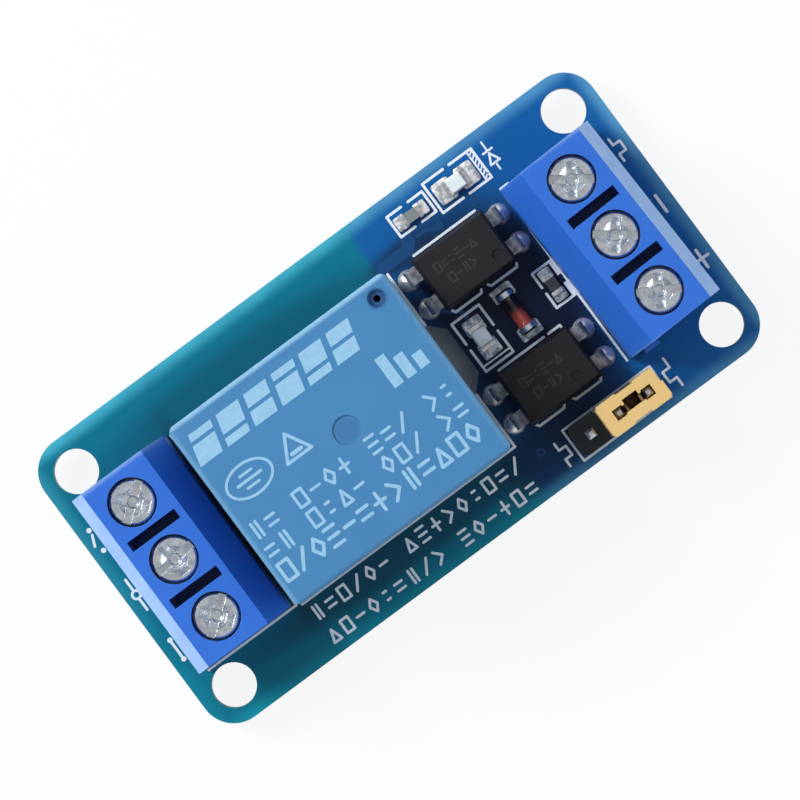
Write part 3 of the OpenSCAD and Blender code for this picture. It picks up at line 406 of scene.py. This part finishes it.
relay_blue = cover_finish()
base_blue = plastic("base_blue", ink(52, 96, 140), ink(44, 84, 126), 0.55)
ivory = plastic("bobbin_ivory", ink(226, 218, 196), ink(214, 205, 182), 0.45)
terminal_blue = terminal_finish()
chip_black = plastic("chip_black", ink(14, 15, 19), ink(22, 22, 26), 0.6,
                     edge=0.12, grain=0.07, depth=0.008, Specular_IOR_Level=0.3)
header_black = plastic("header_black", ink(14, 24, 30), ink(24, 32, 38), 0.5,
                       edge=0.05, grain=0.09, depth=0.005, Specular_IOR_Level=0.3)
amber = plastic("cap_amber", ink(217, 177, 110), ink(231, 198, 134), 0.45,
                edge=0.07, grain=0.12, depth=0.005, Subsurface_Weight=0.05,
                Specular_IOR_Level=0.35)
resistor_grey = plastic("resistor_grey", ink(132, 142, 142), ink(112, 122, 124), 0.5,
                        edge=0.05, grain=0.1, depth=0.006)
resistor_dark = plastic("resistor_dark", ink(62, 66, 76), ink(48, 52, 60), 0.5,
                        edge=0.05, grain=0.1, depth=0.006)
light_white = plastic("light_white", ink(226, 226, 216), ink(206, 206, 198), 0.5,
                      edge=0.04, grain=0.1, depth=0.002)

tin = metal("tinned_lead", ink(222, 224, 227), ink(178, 180, 184), 0.26, size=0.5, depth=0.006)
# the optocouplers' leads: a shaded copy of the tinned metal, painted darker as shade beside the
# black bodies
shaded_lead_tin = metal("opto_shaded_lead_tin", ink(154, 158, 164), ink(104, 108, 114), 0.42,
                 size=0.5, depth=0.006, metallic=0.7)
solder = metal("solder", ink(248, 249, 250), ink(216, 219, 223), 0.32,
               size=0.55, depth=0.02, edge=0.0, metallic=0.82)
pad_solder = chip_solder_finish()
screw_steel = metal("screw_steel", ink(226, 231, 237), ink(194, 201, 210), 0.21,
                    depth=0.005, edge=0.065, spread=0.1)
cage_steel = metal("cage_steel", ink(186, 186, 184), ink(160, 160, 158), 0.32)
iron = metal("relay_iron", ink(170, 170, 172), ink(146, 146, 150), 0.34)
brass = metal("contact_brass", ink(206, 166, 102), ink(194, 154, 94), 0.28, size=1.4)
# the jumper's clip: brass, painted dark as the shade inside the cap
shaded_clip_brass = metal("shaded_clip_brass", ink(150, 122, 90), ink(66, 52, 42), 0.34, size=0.8, depth=0.006)
contact_silver = metal("contact_silver", ink(226, 224, 218), ink(198, 196, 190), 0.22)
winding = winding_finish()

bright_lens = lens_finish("light_lens", ink(240, 250, 247), ink(222, 238, 234))
# the relay light's lens: a shaded copy of the power light's lens, painted darker as shade beside the
# relay
dim_lens = lens_finish("dim_lens", ink(236, 244, 247), ink(212, 222, 227))
diode_glass = diode_glass_finish()


def paint(finish, *names):
    for name in names:
        mesh = nodes[name].data
        mesh.materials.clear()
        mesh.materials.append(finish.material)


paint(mask, "circuit_board")
paint(solder, "solder_joints", "chip_pads")
paint(relay_blue, "relay_cover")
paint(base_blue, "relay_base")
paint(ivory, "relay_bobbin")
paint(winding, "relay_coil")
paint(iron, "relay_core", "relay_yoke", "relay_armature")
paint(brass, "relay_spring", "relay_closed_contact", "relay_open_contact", "relay_common_pin")
paint(contact_silver, "relay_moving_contact", "relay_fixed_rivets")
paint(terminal_blue, "output_housing", "input_housing")
for side in ("output", "input"):
    paint(screw_steel, *(f"{side}_screw_{number}" for number in POLES))
    paint(cage_steel, *(f"{side}_cage_{number}" for number in POLES))
paint(chip_black, "opto_1_body", "opto_2_body")
paint(shaded_lead_tin, "opto_1_leads", "opto_2_leads")
paint(tin, "relay_coil_pins", "output_strips", "input_strips", "header_pins",
      "resistor_1_ends", "resistor_2_ends", "diode_ends")
paint(header_black, "header_base")
paint(amber, "jumper_cap")
paint(shaded_clip_brass, "jumper_clip")
paint(resistor_grey, "resistor_1_body")
paint(resistor_dark, "resistor_2_body")
paint(light_white, "power_light_base", "relay_light_base")
paint(bright_lens, "power_light_lens")
paint(dim_lens, "relay_light_lens")
paint(diode_glass, "diode_glass")


# ------------------------------------------------------------------ how pieces are made


def piece(name, bm, finish, body="board", smooth=False):
    """Turns a bmesh in millimetres into a finished piece that rides on a body."""
    bmesh.ops.recalc_face_normals(bm, faces=bm.faces[:])
    bmesh.ops.scale(bm, verts=bm.verts[:], vec=(MM, MM, MM))
    for face in bm.faces:
        face.smooth = smooth
    mesh = bpy.data.meshes.new(name)
    bm.to_mesh(mesh)
    bm.free()
    made = bpy.data.objects.new(name, mesh)
    bpy.context.scene.collection.objects.link(made)
    mesh.materials.append(finish.material)
    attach(made, body)
    return made


def block(bm, low, high):
    """Adds a box between two corners, and gives its vertices."""
    low, high = Vector(low), Vector(high)
    place = Matrix.Translation((low + high) / 2) @ Matrix.Diagonal((*(high - low), 1))
    return bmesh.ops.create_cube(bm, size=1, matrix=place)["verts"]


def edges_of(verts):
    return list({edge for vert in verts for edge in vert.link_edges})


def soften(bm, verts, offset):
    """Rounds all edges of a small solid."""
    bmesh.ops.bevel(bm, geom=edges_of(verts), offset=offset, offset_type="OFFSET",
                    affect="EDGES", segments=2, profile=0.5, material=-1)


# Plain signs in a cell 1 high and 1 wide, as pen strokes: squares, dashes, bars and chevrons
SIGNS = {
    "#": [[(0, 0), (1, 0), (1, 1), (0, 1), (0, 0)]],
    "d": [[(0.5, 1), (1, 0.5), (0.5, 0), (0, 0.5), (0.5, 1)]],
    "-": [[(0, 0.5), (1, 0.5)]],
    "=": [[(0, 0.25), (1, 0.25)], [(0, 0.75), (1, 0.75)]],
    "3": [[(0, 0), (1, 0)], [(0, 0.5), (1, 0.5)], [(0, 1), (1, 1)]],
    "i": [[(0.3, 0), (0.3, 1)], [(0.8, 0), (0.8, 1)]],
    "+": [[(0, 0.5), (1, 0.5)], [(0.5, 0), (0.5, 1)]],
    ">": [[(0.1, 0), (0.9, 0.5), (0.1, 1)]],
    "/": [[(0, 0), (1, 1)]],
    ":": [[(0.3, 0.2), (0.7, 0.2)], [(0.3, 0.8), (0.7, 0.8)]],
    "t": [[(0, 0), (1, 0), (0.5, 0.9), (0, 0)]],
}
SIGN_WIDTH = 0.62  # of its height
DOT_SIDES = 12
HAIR, HAIR_STEPS = 0.0006, 11


class Marks:
    """Marks on a level face, each a thin slab of ink or copper with round ends.

    They start a depth below the face. Their places count from the middle of the node that at()
    names, or else from the board's own middle.
    """

    def __init__(self, face, depth, thick):
        self.bm = bmesh.new()
        self.low, self.thick = face - depth, thick
        self.origin = Vector((0, 0))
        self.laid = 0

    def at(self, node):
        self.origin = middle(node).xy

    def put(self, point):
        return self.origin + Vector(point)

    def span(self):
        """A mark's low side and thickness, a hair apart from the next one's.

        Marks that cross would otherwise share a plane.
        """
        self.laid += 1
        hair = HAIR * (self.laid % HAIR_STEPS)
        return self.low - hair, self.thick + 2 * hair

    def slab(self, *points):
        """Fills an outline given corner by corner."""
        low, height = self.span()
        face = self.bm.faces.new([self.bm.verts.new((*self.put(p), low)) for p in points])
        grown = bmesh.ops.extrude_face_region(self.bm, geom=[face], use_keep_orig=True)["geom"]
        top = [v for v in grown if isinstance(v, bmesh.types.BMVert)]
        bmesh.ops.translate(self.bm, verts=top, vec=(0, 0, height))

    def dot(self, x, y, radius):
        low, height = self.span()
        place = Matrix.Translation((*self.put((x, y)), low + height / 2))
        bmesh.ops.create_cone(self.bm, cap_ends=True, segments=DOT_SIDES, radius1=radius,
                              radius2=radius, depth=height, matrix=place)

    def line(self, *points, width=0.2, closed=False):
        """A pen line through the points."""
        ends = list(points[1:]) + ([points[0]] if closed else [])
        for start, end in zip(points, ends):
            run = Vector(end) - Vector(start)
            low, height = self.span()
            halfway = (self.put(start) + self.put(end)) / 2
            place = (Matrix.Translation((*halfway, low + height / 2))
                     @ Matrix.Rotation(math.atan2(run.y, run.x), 4, "Z")
                     @ Matrix.Diagonal((run.length, width, height, 1)))
            bmesh.ops.create_cube(self.bm, size=1, matrix=place)
        for x, y in points:
            self.dot(x, y, width / 2)

    def ring(self, x, y, radius_x, radius_y, width, steps):
        turns = [2 * math.pi * k / steps for k in range(steps)]
        self.line(*[(x + radius_x * math.cos(a), y + radius_y * math.sin(a)) for a in turns],
                  width=width, closed=True)

    def signs(self, pattern, x, y, height, pitch, width):
        """A row of plain signs from x, y on. Each letter of the pattern picks one sign."""
        for place, letter in enumerate(pattern):
            for stroke in SIGNS.get(letter, ()):
                self.line(*[(x + u * height * SIGN_WIDTH + place * pitch, y + v * height)
                            for u, v in stroke], width=width)


# ------------------------------------------------------------------ printing


def board_frames(on):
    """The white frames round the parts."""
    line, slab = on.line, on.slab
    on.at("relay_cover")
    line((9.71, 7.78), (9.71, 3.15))
    line((9.71, -3.2), (9.71, -7.94), (-9.71, -7.94))

    on.at("circuit_board")
    for x in (-15.1, 15.1):
        line((x, 7.75), (x, -7.75), width=0.18)
    line((-15.1, -7.75), (-23.1, -7.75), width=0.18)
    line((15.1, 7.9), (15.8, 7.9), width=0.18)

    # optocouplers: a line along the far side, two short ones with raised ends on the near side
    on.at("opto_1_body")
    line((-2.74, 2.54), (2.82, 2.54))
    line((-2.84, -2.4), (-2.7, -2.62), (-0.38, -2.62), (-0.22, -2.4))
    line((0.38, -2.4), (0.54, -2.62), (2.86, -2.62), (3.0, -2.4))
    on.at("opto_2_body")
    line((-2.74, 2.52), (1.37, 2.52))
    line((1.81, 2.52), (2.85, 2.52), (2.85, 2.15))
    line((-2.88, -2.33), (-2.74, -2.55), (-0.49, -2.55), (-0.33, -2.33))
    line((0.43, -2.33), (0.59, -2.55), (2.85, -2.55), (3.0, -2.33))

    # power light, with a hatched band at one end
    on.at("power_light_base")
    line((-0.19, 1.38), (-2.05, 1.38), (-2.05, -1.22), (-0.19, -1.22))
    line((0.37, 1.38), (2.37, 1.38), (2.37, -1.22), (0.37, -1.22))
    line((1.95, 1.38), (1.95, -1.22), width=0.14)
    for k in range(7):
        line((1.99, -1.05 + 0.34 * k), (2.31, -0.8 + 0.34 * k), width=0.12)

    on.at("resistor_1_body")
    line((-0.26, 0.98), (-1.54, 0.98), (-1.54, -0.82), (-0.26, -0.82))
    line((0.38, 0.98), (1.66, 0.98), (1.66, -0.82), (0.38, -0.82))

    # relay light, with a double line at one end
    on.at("relay_light_base")
    line((-1.25, 0.225), (-1.25, 2.045), (1.22, 2.045), (1.22, 0.225))
    line((-1.25, -0.325), (-1.25, -2.235), (1.22, -2.235), (1.22, -0.325))
    line((-1.25, -1.845), (1.22, -1.845), width=0.14)

    # second resistor, with two solid marks beside its pads
    on.at("resistor_2_body")
    line((-0.77, 0.275), (-0.77, 1.515), (0.93, 1.515))
    line((-0.77, -0.275), (-0.77, -1.555), (0.93, -1.555))
    slab((0.7, 0.325), (1.26, 0.325), (1.26, 1.525), (0.7, 1.525))
    slab((0.7, -1.575), (1.26, -1.575), (1.26, -0.375), (0.7, -0.375))

    on.at("header_base")
    line((-4.0, 1.34), (3.95, 1.34), (3.95, -1.39), (-4.0, -1.39), closed=True, width=0.18)
    line((-1.35, 1.34), (-1.35, 1.1), width=0.16)


def board_signs(on):
    """Plain signs beside the terminals, the power light and the header, and two rows of signs."""
    line, dot = on.line, on.dot
    # open contact, common contact, closed contact
    on.at("output_screw_1")
    dot(-4.3, 0.42, 0.2)
    line((-4.3, 0.02), (-4.64, -0.78), width=0.2)
    dot(-4.3, -1.38, 0.2)
    on.at("output_screw_2")
    line((-4.3, 1.0), (-4.3, 0.05), width=0.2)
    on.ring(-4.3, -0.35, 0.32, 0.32, width=0.19, steps=12)
    line((-4.3, -0.75), (-4.3, -1.7), width=0.2)
    on.at("output_screw_3")
    dot(-4.3, 0.58, 0.2)
    line((-4.3, 0.58), (-4.3, -1.12), width=0.2)
    dot(-4.3, -1.12, 0.2)

    # a pulse, a minus and a plus beside the input block
    on.at("circuit_board")
    line((23.65, 6.1), (23.65, 5.55), (24.25, 5.55), (24.25, 4.75), (23.65, 4.75), (23.65, 4.15),
         width=0.19)
    line((23.95, 0.75), (23.95, -0.7), width=0.24)
    line((23.95, -4.25), (23.95, -5.75), width=0.24)
    line((23.33, -5.0), (24.5, -5.0), width=0.24)

    # diode sign beside the power light: a triangle, a bar and two leads
    on.at("power_light_base")
    line((2.85, -0.5), (3.65, -0.5), (3.25, 0.3), width=0.17, closed=True)
    line((2.85, 0.5), (3.65, 0.5), width=0.17)
    line((3.25, -1.1), (3.25, -0.6), width=0.15)
    line((3.25, 0.6), (3.25, 1.3), width=0.15)

    # one step up and one step down at the header's ends
    on.at("header_base")
    line((-5.05, -1.1), (-5.05, -0.5), (-4.45, -0.5), (-4.45, 0.3), (-5.05, 0.3), (-5.05, 0.9),
         width=0.19)
    line((5.1, -1.2), (5.1, -0.5), (4.45, -0.5), (4.45, 0.4), (5.1, 0.4), (5.1, 1.2),
         width=0.19)

    on.at("circuit_board")
    on.signs("i=#/d- t3+>d:#=/", -14.45, -9.6, height=1.05, pitch=1.2, width=0.2)
    on.signs("t#-d:=i/> 3d-+#=", -14.45, -11.65, height=1.05, pitch=1.2, width=0.2)


def board_print():
    on = Marks(BOARD_TOP, depth=0.005, thick=0.022)
    board_frames(on)
    board_signs(on)
    return piece("board_print", on.bm, white_ink)


def relay_print():
    """Plain marks on the cover: slanted blocks, an oval, a triangle and rows of signs."""
    on = Marks(RELAY_HIGH.z, depth=0.004, thick=0.016)
    on.at("relay_cover")
    # a slanted band, cut into blocks at changing heights
    low_side, high_side = 4.25, 6.6
    slant = 0.26
    for k, cut_at in enumerate((5.9, 5.0, 5.45, 5.9, 5.0, 5.45)):
        x = -9.11 + 2.42 * k
        for low, high in ((low_side, cut_at - 0.14), (cut_at + 0.14, high_side)):
            a, b = x + slant * (low - low_side), x + slant * (high - low_side)
            on.slab((a, low), (a + 1.95, low), (b + 1.95, high), (b, high))
    # an oval with three dashes, and a triangle with one
    on.ring(-6.81, 1.55, 1.85, 1.2, width=0.2, steps=28)
    on.line((-7.81, 1.55), (-5.81, 1.55), width=0.22)
    on.line((-7.31, 1.05), (-6.31, 1.05), width=0.2)
    on.line((-7.31, 2.05), (-6.31, 2.05), width=0.2)
    on.line((-4.01, 0.75), (-2.96, 2.65), (-1.91, 0.75), width=0.24, closed=True)
    on.line((-3.36, 1.15), (-2.56, 1.15), width=0.3)
    # stepped bars at the right
    for k, high in enumerate((3.05, 2.4, 1.75)):
        x = 5.29 + 1.15 * k
        on.slab((x, 0.55), (x + 0.8, 0.55), (x + 0.8, high), (x, high))
    on.signs("i= #-d+ 3=/ >:", -8.91, -2.3, height=1.2, pitch=1.28, width=0.22)
    on.signs("=i #:t- d#/ >=", -8.91, -4.05, height=1.2, pitch=1.28, width=0.22)
    on.signs("#/d3-=+>i=t#d", -8.91, -5.95, height=1.4, pitch=1.36, width=0.26)
    return piece("relay_print", on.bm, pale_ink)


def opto_print():
    """Faint marks on the optocouplers' tops."""
    on = Marks(corners("opto_1_body")[1].z, depth=0.003, thick=0.009)
    for node in ("opto_1_body", "opto_2_body"):
        on.at(node)
        on.signs("#=:3-t", -2.1, 0.35, height=0.7, pitch=0.62, width=0.13)
        on.signs("#-i>", -1.6, -0.85, height=0.7, pitch=0.62, width=0.13)
    return piece("opto_print", on.bm, faint_ink)


# ------------------------------------------------------------------ copper


def copper_tracks():
    """Tracks under the mask on the board's top."""
    on = Marks(BOARD_TOP, depth=0.012, thick=0.016)
    on.line((4.7, 8.35), (7.0, 8.35), (7.4, 8.75), (7.4, 9.5), width=0.9)
    on.line((8.1, 8.75), (8.9, 8.75), (9.5, 8.4), (9.9, 8.4), width=0.3)
    on.line((9.6, 10.3), (10.9, 10.3), width=0.5)
    on.line((7.5, 1.6), (7.5, 2.3), (5.9, 3.7), width=0.35)
    return piece("copper_tracks", on.bm, copper_mask)


def vias():
    """Small plated holes, filled with mask."""
    on = Marks(BOARD_TOP, depth=0.012, thick=0.03)
    for x, y in ((9.9, 8.4), (6.0, -9.4), (13.0, 8.3)):
        on.ring(x, y, 0.26, 0.26, width=0.16, steps=14)
    return piece("vias", on.bm, copper_mask)


def under_tracks():
    """Wide tracks on the underside, from the relay to the output block and along the inputs."""
    on = Marks(BOARD_LOW.z, depth=0.028, thick=0.034)
    line = on.line
    # the relay's contacts and coil
    leg_x = corners("output_strips")[1].x - 0.35
    poles = [middle(f"output_screw_{number}").y for number in POLES]
    pin_x = middle("relay_closed_contact").x - 0.5
    closed_y = corners("relay_closed_contact")[1].y - 0.5
    open_y = corners("relay_open_contact")[0].y + 0.5
    common_x = corners("relay_common_pin")[1].x
    line((leg_x, poles[0]), (pin_x, closed_y), width=2.3)
    line((leg_x, poles[2]), (pin_x, open_y), width=2.3)
    line((leg_x, poles[1]), (leg_x + 3.4, poles[1] - 0.1), (common_x - 1.6, 0.0),
         (common_x - 0.2, 0.0), width=2.5)
    coil_x = middle("relay_coil_pins").x
    coil_y = corners("relay_coil_pins")[1].y - 0.3
    for side in (-1, 1):
        line((coil_x, side * coil_y), (coil_x + 1.3, side * (coil_y + 1.3)),
             (coil_x + 5.4, side * (coil_y + 1.3)), width=0.9)

    # the optocouplers' leads
    opto_1, opto_2 = middle("opto_1_body"), middle("opto_2_body")
    lead_y = PIN_PITCH / 2
    inner_x, outer_x = opto_1.x - LEAD_REACH, opto_1.x + LEAD_REACH
    for opto in (opto_1, opto_2):
        for side in (-1, 1):
            line((outer_x, opto.y + side * lead_y), (outer_x + 1.5, opto.y + side * lead_y),
                 (outer_x + 2.5, opto.y + side * 2.1), width=0.6)
    line((inner_x, opto_1.y - lead_y), (inner_x + 1.0, opto_1.y - 2.3),
         (inner_x + 1.0, opto_2.y + 2.3), (inner_x, opto_2.y + lead_y), width=0.6)
    line((inner_x, opto_1.y + lead_y), (inner_x + 1.5, opto_1.y + 3.2),
         (opto_1.x + 3.6, opto_1.y + 3.2), width=0.8)

    # the header's outer pins
    header = middle("header_base")
    line((header.x - PIN_PITCH, header.y), (inner_x, opto_2.y - lead_y), width=0.6)
    line((header.x + PIN_PITCH, header.y), (header.x + 4.2, header.y + 1.2),
         (header.x + 4.2, header.y + 3.2), width=0.6)

    # the input block
    strip_x = middle("input_strips").x
    strip_low_x = corners("input_strips")[0].x + 0.4
    end_x = 1.6 - middle("output_strips").x
    for number in POLES:
        y = middle(f"input_screw_{number}").y
        line((strip_low_x, y), (end_x, y), width=1.6)
    line((strip_x + 2.4, -5.2), (strip_x + 2.4, -7.6), (strip_x - 1.2, -11.2),
         (strip_x - 6.0, -11.2), width=1.0)
    return piece("under_tracks", on.bm, copper_mask)


# ------------------------------------------------------------------ solder and small parts


def chip_solder():
    """Tinned pads with solder drawn up into low cushions at the ends of the chips."""
    bm = bmesh.new()
    under_face = 0.12
    for chip, along, far, length, width, rise in (
        ("power_light_base", "x", 1.02, 1.5, 1.78, 0.22),
        ("relay_light_base", "y", 1.0, 1.32, 1.6, 0.2),
        ("resistor_1_body", "x", 0.9, 0.95, 1.12, 0.3),
        ("resistor_2_body", "y", 0.9, 0.9, 1.05, 0.3),
        ("diode_glass", "y", 1.72, 1.15, 1.85, 0.2),
    ):
        for side in (-1, 1):
            mid = middle(chip).xy
            if along == "x":
                mid.x += side * far
                half = Vector((length, width)) / 2
            else:
                mid.y += side * far
                half = Vector((width, length)) / 2
            cushion = block(bm, (*(mid - half), BOARD_TOP - under_face),
                            (*(mid + half), BOARD_TOP + rise))
            bmesh.ops.subdivide_edges(bm, edges=edges_of(cushion), cuts=3, use_grid_fill=True)
    made = piece("chip_solder", bm, pad_solder, smooth=True)
    rounding = made.modifiers.new("drawn_up", "SUBSURF")
    rounding.levels = rounding.render_levels = 2
    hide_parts("chip_pads")
    return made


def light_ends():
    """Plated ends of the two lights, wrapped round their bases."""
    bm = bmesh.new()
    skin = Vector((0.012, 0.012, 0.012))
    length = 0.34
    for light, axis in (("power_light_base", 0), ("relay_light_base", 1)):
        low, high = corners(light)
        low, high = low - skin, high + skin
        near_high, far_low = high.copy(), low.copy()
        near_high[axis] = low[axis] + length
        far_low[axis] = high[axis] - length
        soften(bm, block(bm, low, near_high), 0.03)
        soften(bm, block(bm, far_low, high), 0.03)
    return piece("light_ends", bm, tin)


def diode_core():
    """Two studs that hold the die in the middle of the diode's glass."""
    bm = bmesh.new()
    low, high = corners("diode_glass")
    mid = (low + high) / 2
    stud_r = 0.4
    stud_l = (high.y - low.y) / 2 - 0.16
    stud_y = 0.12 + stud_l / 2
    lying = Matrix.Rotation(math.radians(90), 4, "X")
    for side in (-1, 1):
        place = Matrix.Translation((mid.x, mid.y + side * stud_y, mid.z)) @ lying
        stud = bmesh.ops.create_cone(bm, cap_ends=True, segments=24, radius1=stud_r,
                                     radius2=stud_r, depth=stud_l, matrix=place)["verts"]
        soften(bm, stud, 0.05)
    half_die = Vector((0.28, 0.1, 0.28))
    soften(bm, block(bm, mid - half_die, mid + half_die), 0.03)
    return piece("diode_core", bm, tin)


board_print()
relay_print()
opto_print()
copper_tracks()
vias()
under_tracks()
chip_solder()
light_ends()
diode_core()


# ------------------------------------------------------------------ studio


def backdrop():
    """A pale floor under the pins. It looks white to the camera and keeps a soft shadow."""
    under_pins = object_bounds()[0].z - 0.00002
    bm = bmesh.new()
    bmesh.ops.create_grid(bm, x_segments=1, y_segments=1, size=3.0)
    mesh = bpy.data.meshes.new("floor")
    bm.to_mesh(mesh)
    bm.free()
    floor = bpy.data.objects.new("floor", mesh)
    floor.location.z = under_pins
    bpy.context.scene.collection.objects.link(floor)

    material = bpy.data.materials.new("floor_white")
    material.use_nodes = True
    material.node_tree.nodes.clear()
    mesh.materials.append(material)
    floor_nodes = Shading(material.node_tree)
    matt = floor_nodes.add("ShaderNodeBsdfDiffuse")
    matt.inputs["Color"].default_value = (0.82, 0.9, 1.0, 1)
    white = floor_nodes.add("ShaderNodeEmission")
    # an oval in the middle of the floor, under the board, keeps its full shadow
    where = floor_nodes.add("ShaderNodeTexCoord").outputs["Object"]
    off = floor_nodes.vector("MULTIPLY", where, (1 / 0.021, 1 / 0.009, 0))
    open_floor = floor_nodes.fade(floor_nodes.vector("LENGTH", off), 0.75, 1.2)
    open_floor = floor_nodes.math("MULTIPLY", open_floor, 0.88)
    ray = floor_nodes.add("ShaderNodeLightPath").outputs
    seen = floor_nodes.math("MAXIMUM", ray["Is Camera Ray"], ray["Is Transmission Ray"])
    share = floor_nodes.math("MULTIPLY", seen, open_floor)
    surface = floor_nodes.mix_shaders(share, matt.outputs[0], white.outputs[0])
    out = floor_nodes.add("ShaderNodeOutputMaterial")
    floor_nodes.feed(out.inputs["Surface"], surface)


def surroundings():
    """White all round; what shines sees it white at the horizon and darker overhead."""
    world = bpy.data.worlds.new("studio")
    bpy.context.scene.world = world
    world.use_nodes = True
    world.node_tree.nodes.clear()
    sky = Shading(world.node_tree)
    where = sky.add("ShaderNodeTexCoord").outputs["Generated"]
    overhead = sky.fade(sky.part(where, "Z"), 0.45, 0.95)
    soft = sky.add("ShaderNodeBackground")
    soft.inputs["Strength"].default_value = 0.55
    shine = sky.add("ShaderNodeBackground")
    sky.feed(shine.inputs["Strength"], sky.blend(overhead, 1.0, 0.62))
    white = sky.add("ShaderNodeBackground")
    ray = sky.add("ShaderNodeLightPath").outputs
    lit = sky.mix_shaders(ray["Is Glossy Ray"], soft.outputs[0], shine.outputs[0])
    surface = sky.mix_shaders(ray["Is Camera Ray"], lit, white.outputs[0])
    out = sky.add("ShaderNodeOutputWorld")
    sky.feed(out.inputs["Surface"], surface)


def lamp(name, place, size, watts):
    """A round soft lamp that faces the middle of the board."""
    light = bpy.data.lights.new(name, "AREA")
    light.shape = "DISK"
    light.size = size
    light.energy = watts
    stand = bpy.data.objects.new(name, light)
    stand.location = place
    stand.rotation_euler = (-Vector(place)).to_track_quat("-Z", "Y").to_euler()
    bpy.context.scene.collection.objects.link(stand)


def camera():
    """Nearly straight down from 450 mm above the board, with its far end up to the right."""
    view = bpy.data.cameras.new("camera")
    view.sensor_width = 36
    view.lens = 276
    view.clip_start = 0.05
    view.clip_end = 10
    eye = bpy.data.objects.new("camera", view)
    stand = Vector((3.2, -4.3, BOARD_TOP + 450)) * MM
    aim = Vector((-0.02, -0.17, BOARD_TOP)) * MM
    back = (stand - aim).normalized()
    turn = math.radians(36.5)
    up = Vector((math.sin(turn), math.cos(turn), 0))
    right = up.cross(back).normalized()
    up = back.cross(right)
    eye.matrix_world = Matrix.Translation(stand) @ Matrix((right, up, back)).transposed().to_4x4()
    bpy.context.scene.collection.objects.link(eye)
    bpy.context.scene.camera = eye


backdrop()
surroundings()
lamp("key", (-0.18, 0.28, 0.34), size=0.22, watts=1.85)
lamp("fill", (0.25, -0.2, 0.4), size=0.3, watts=0.26)
camera()
bpy.context.scene.view_settings.view_transform = "Standard"
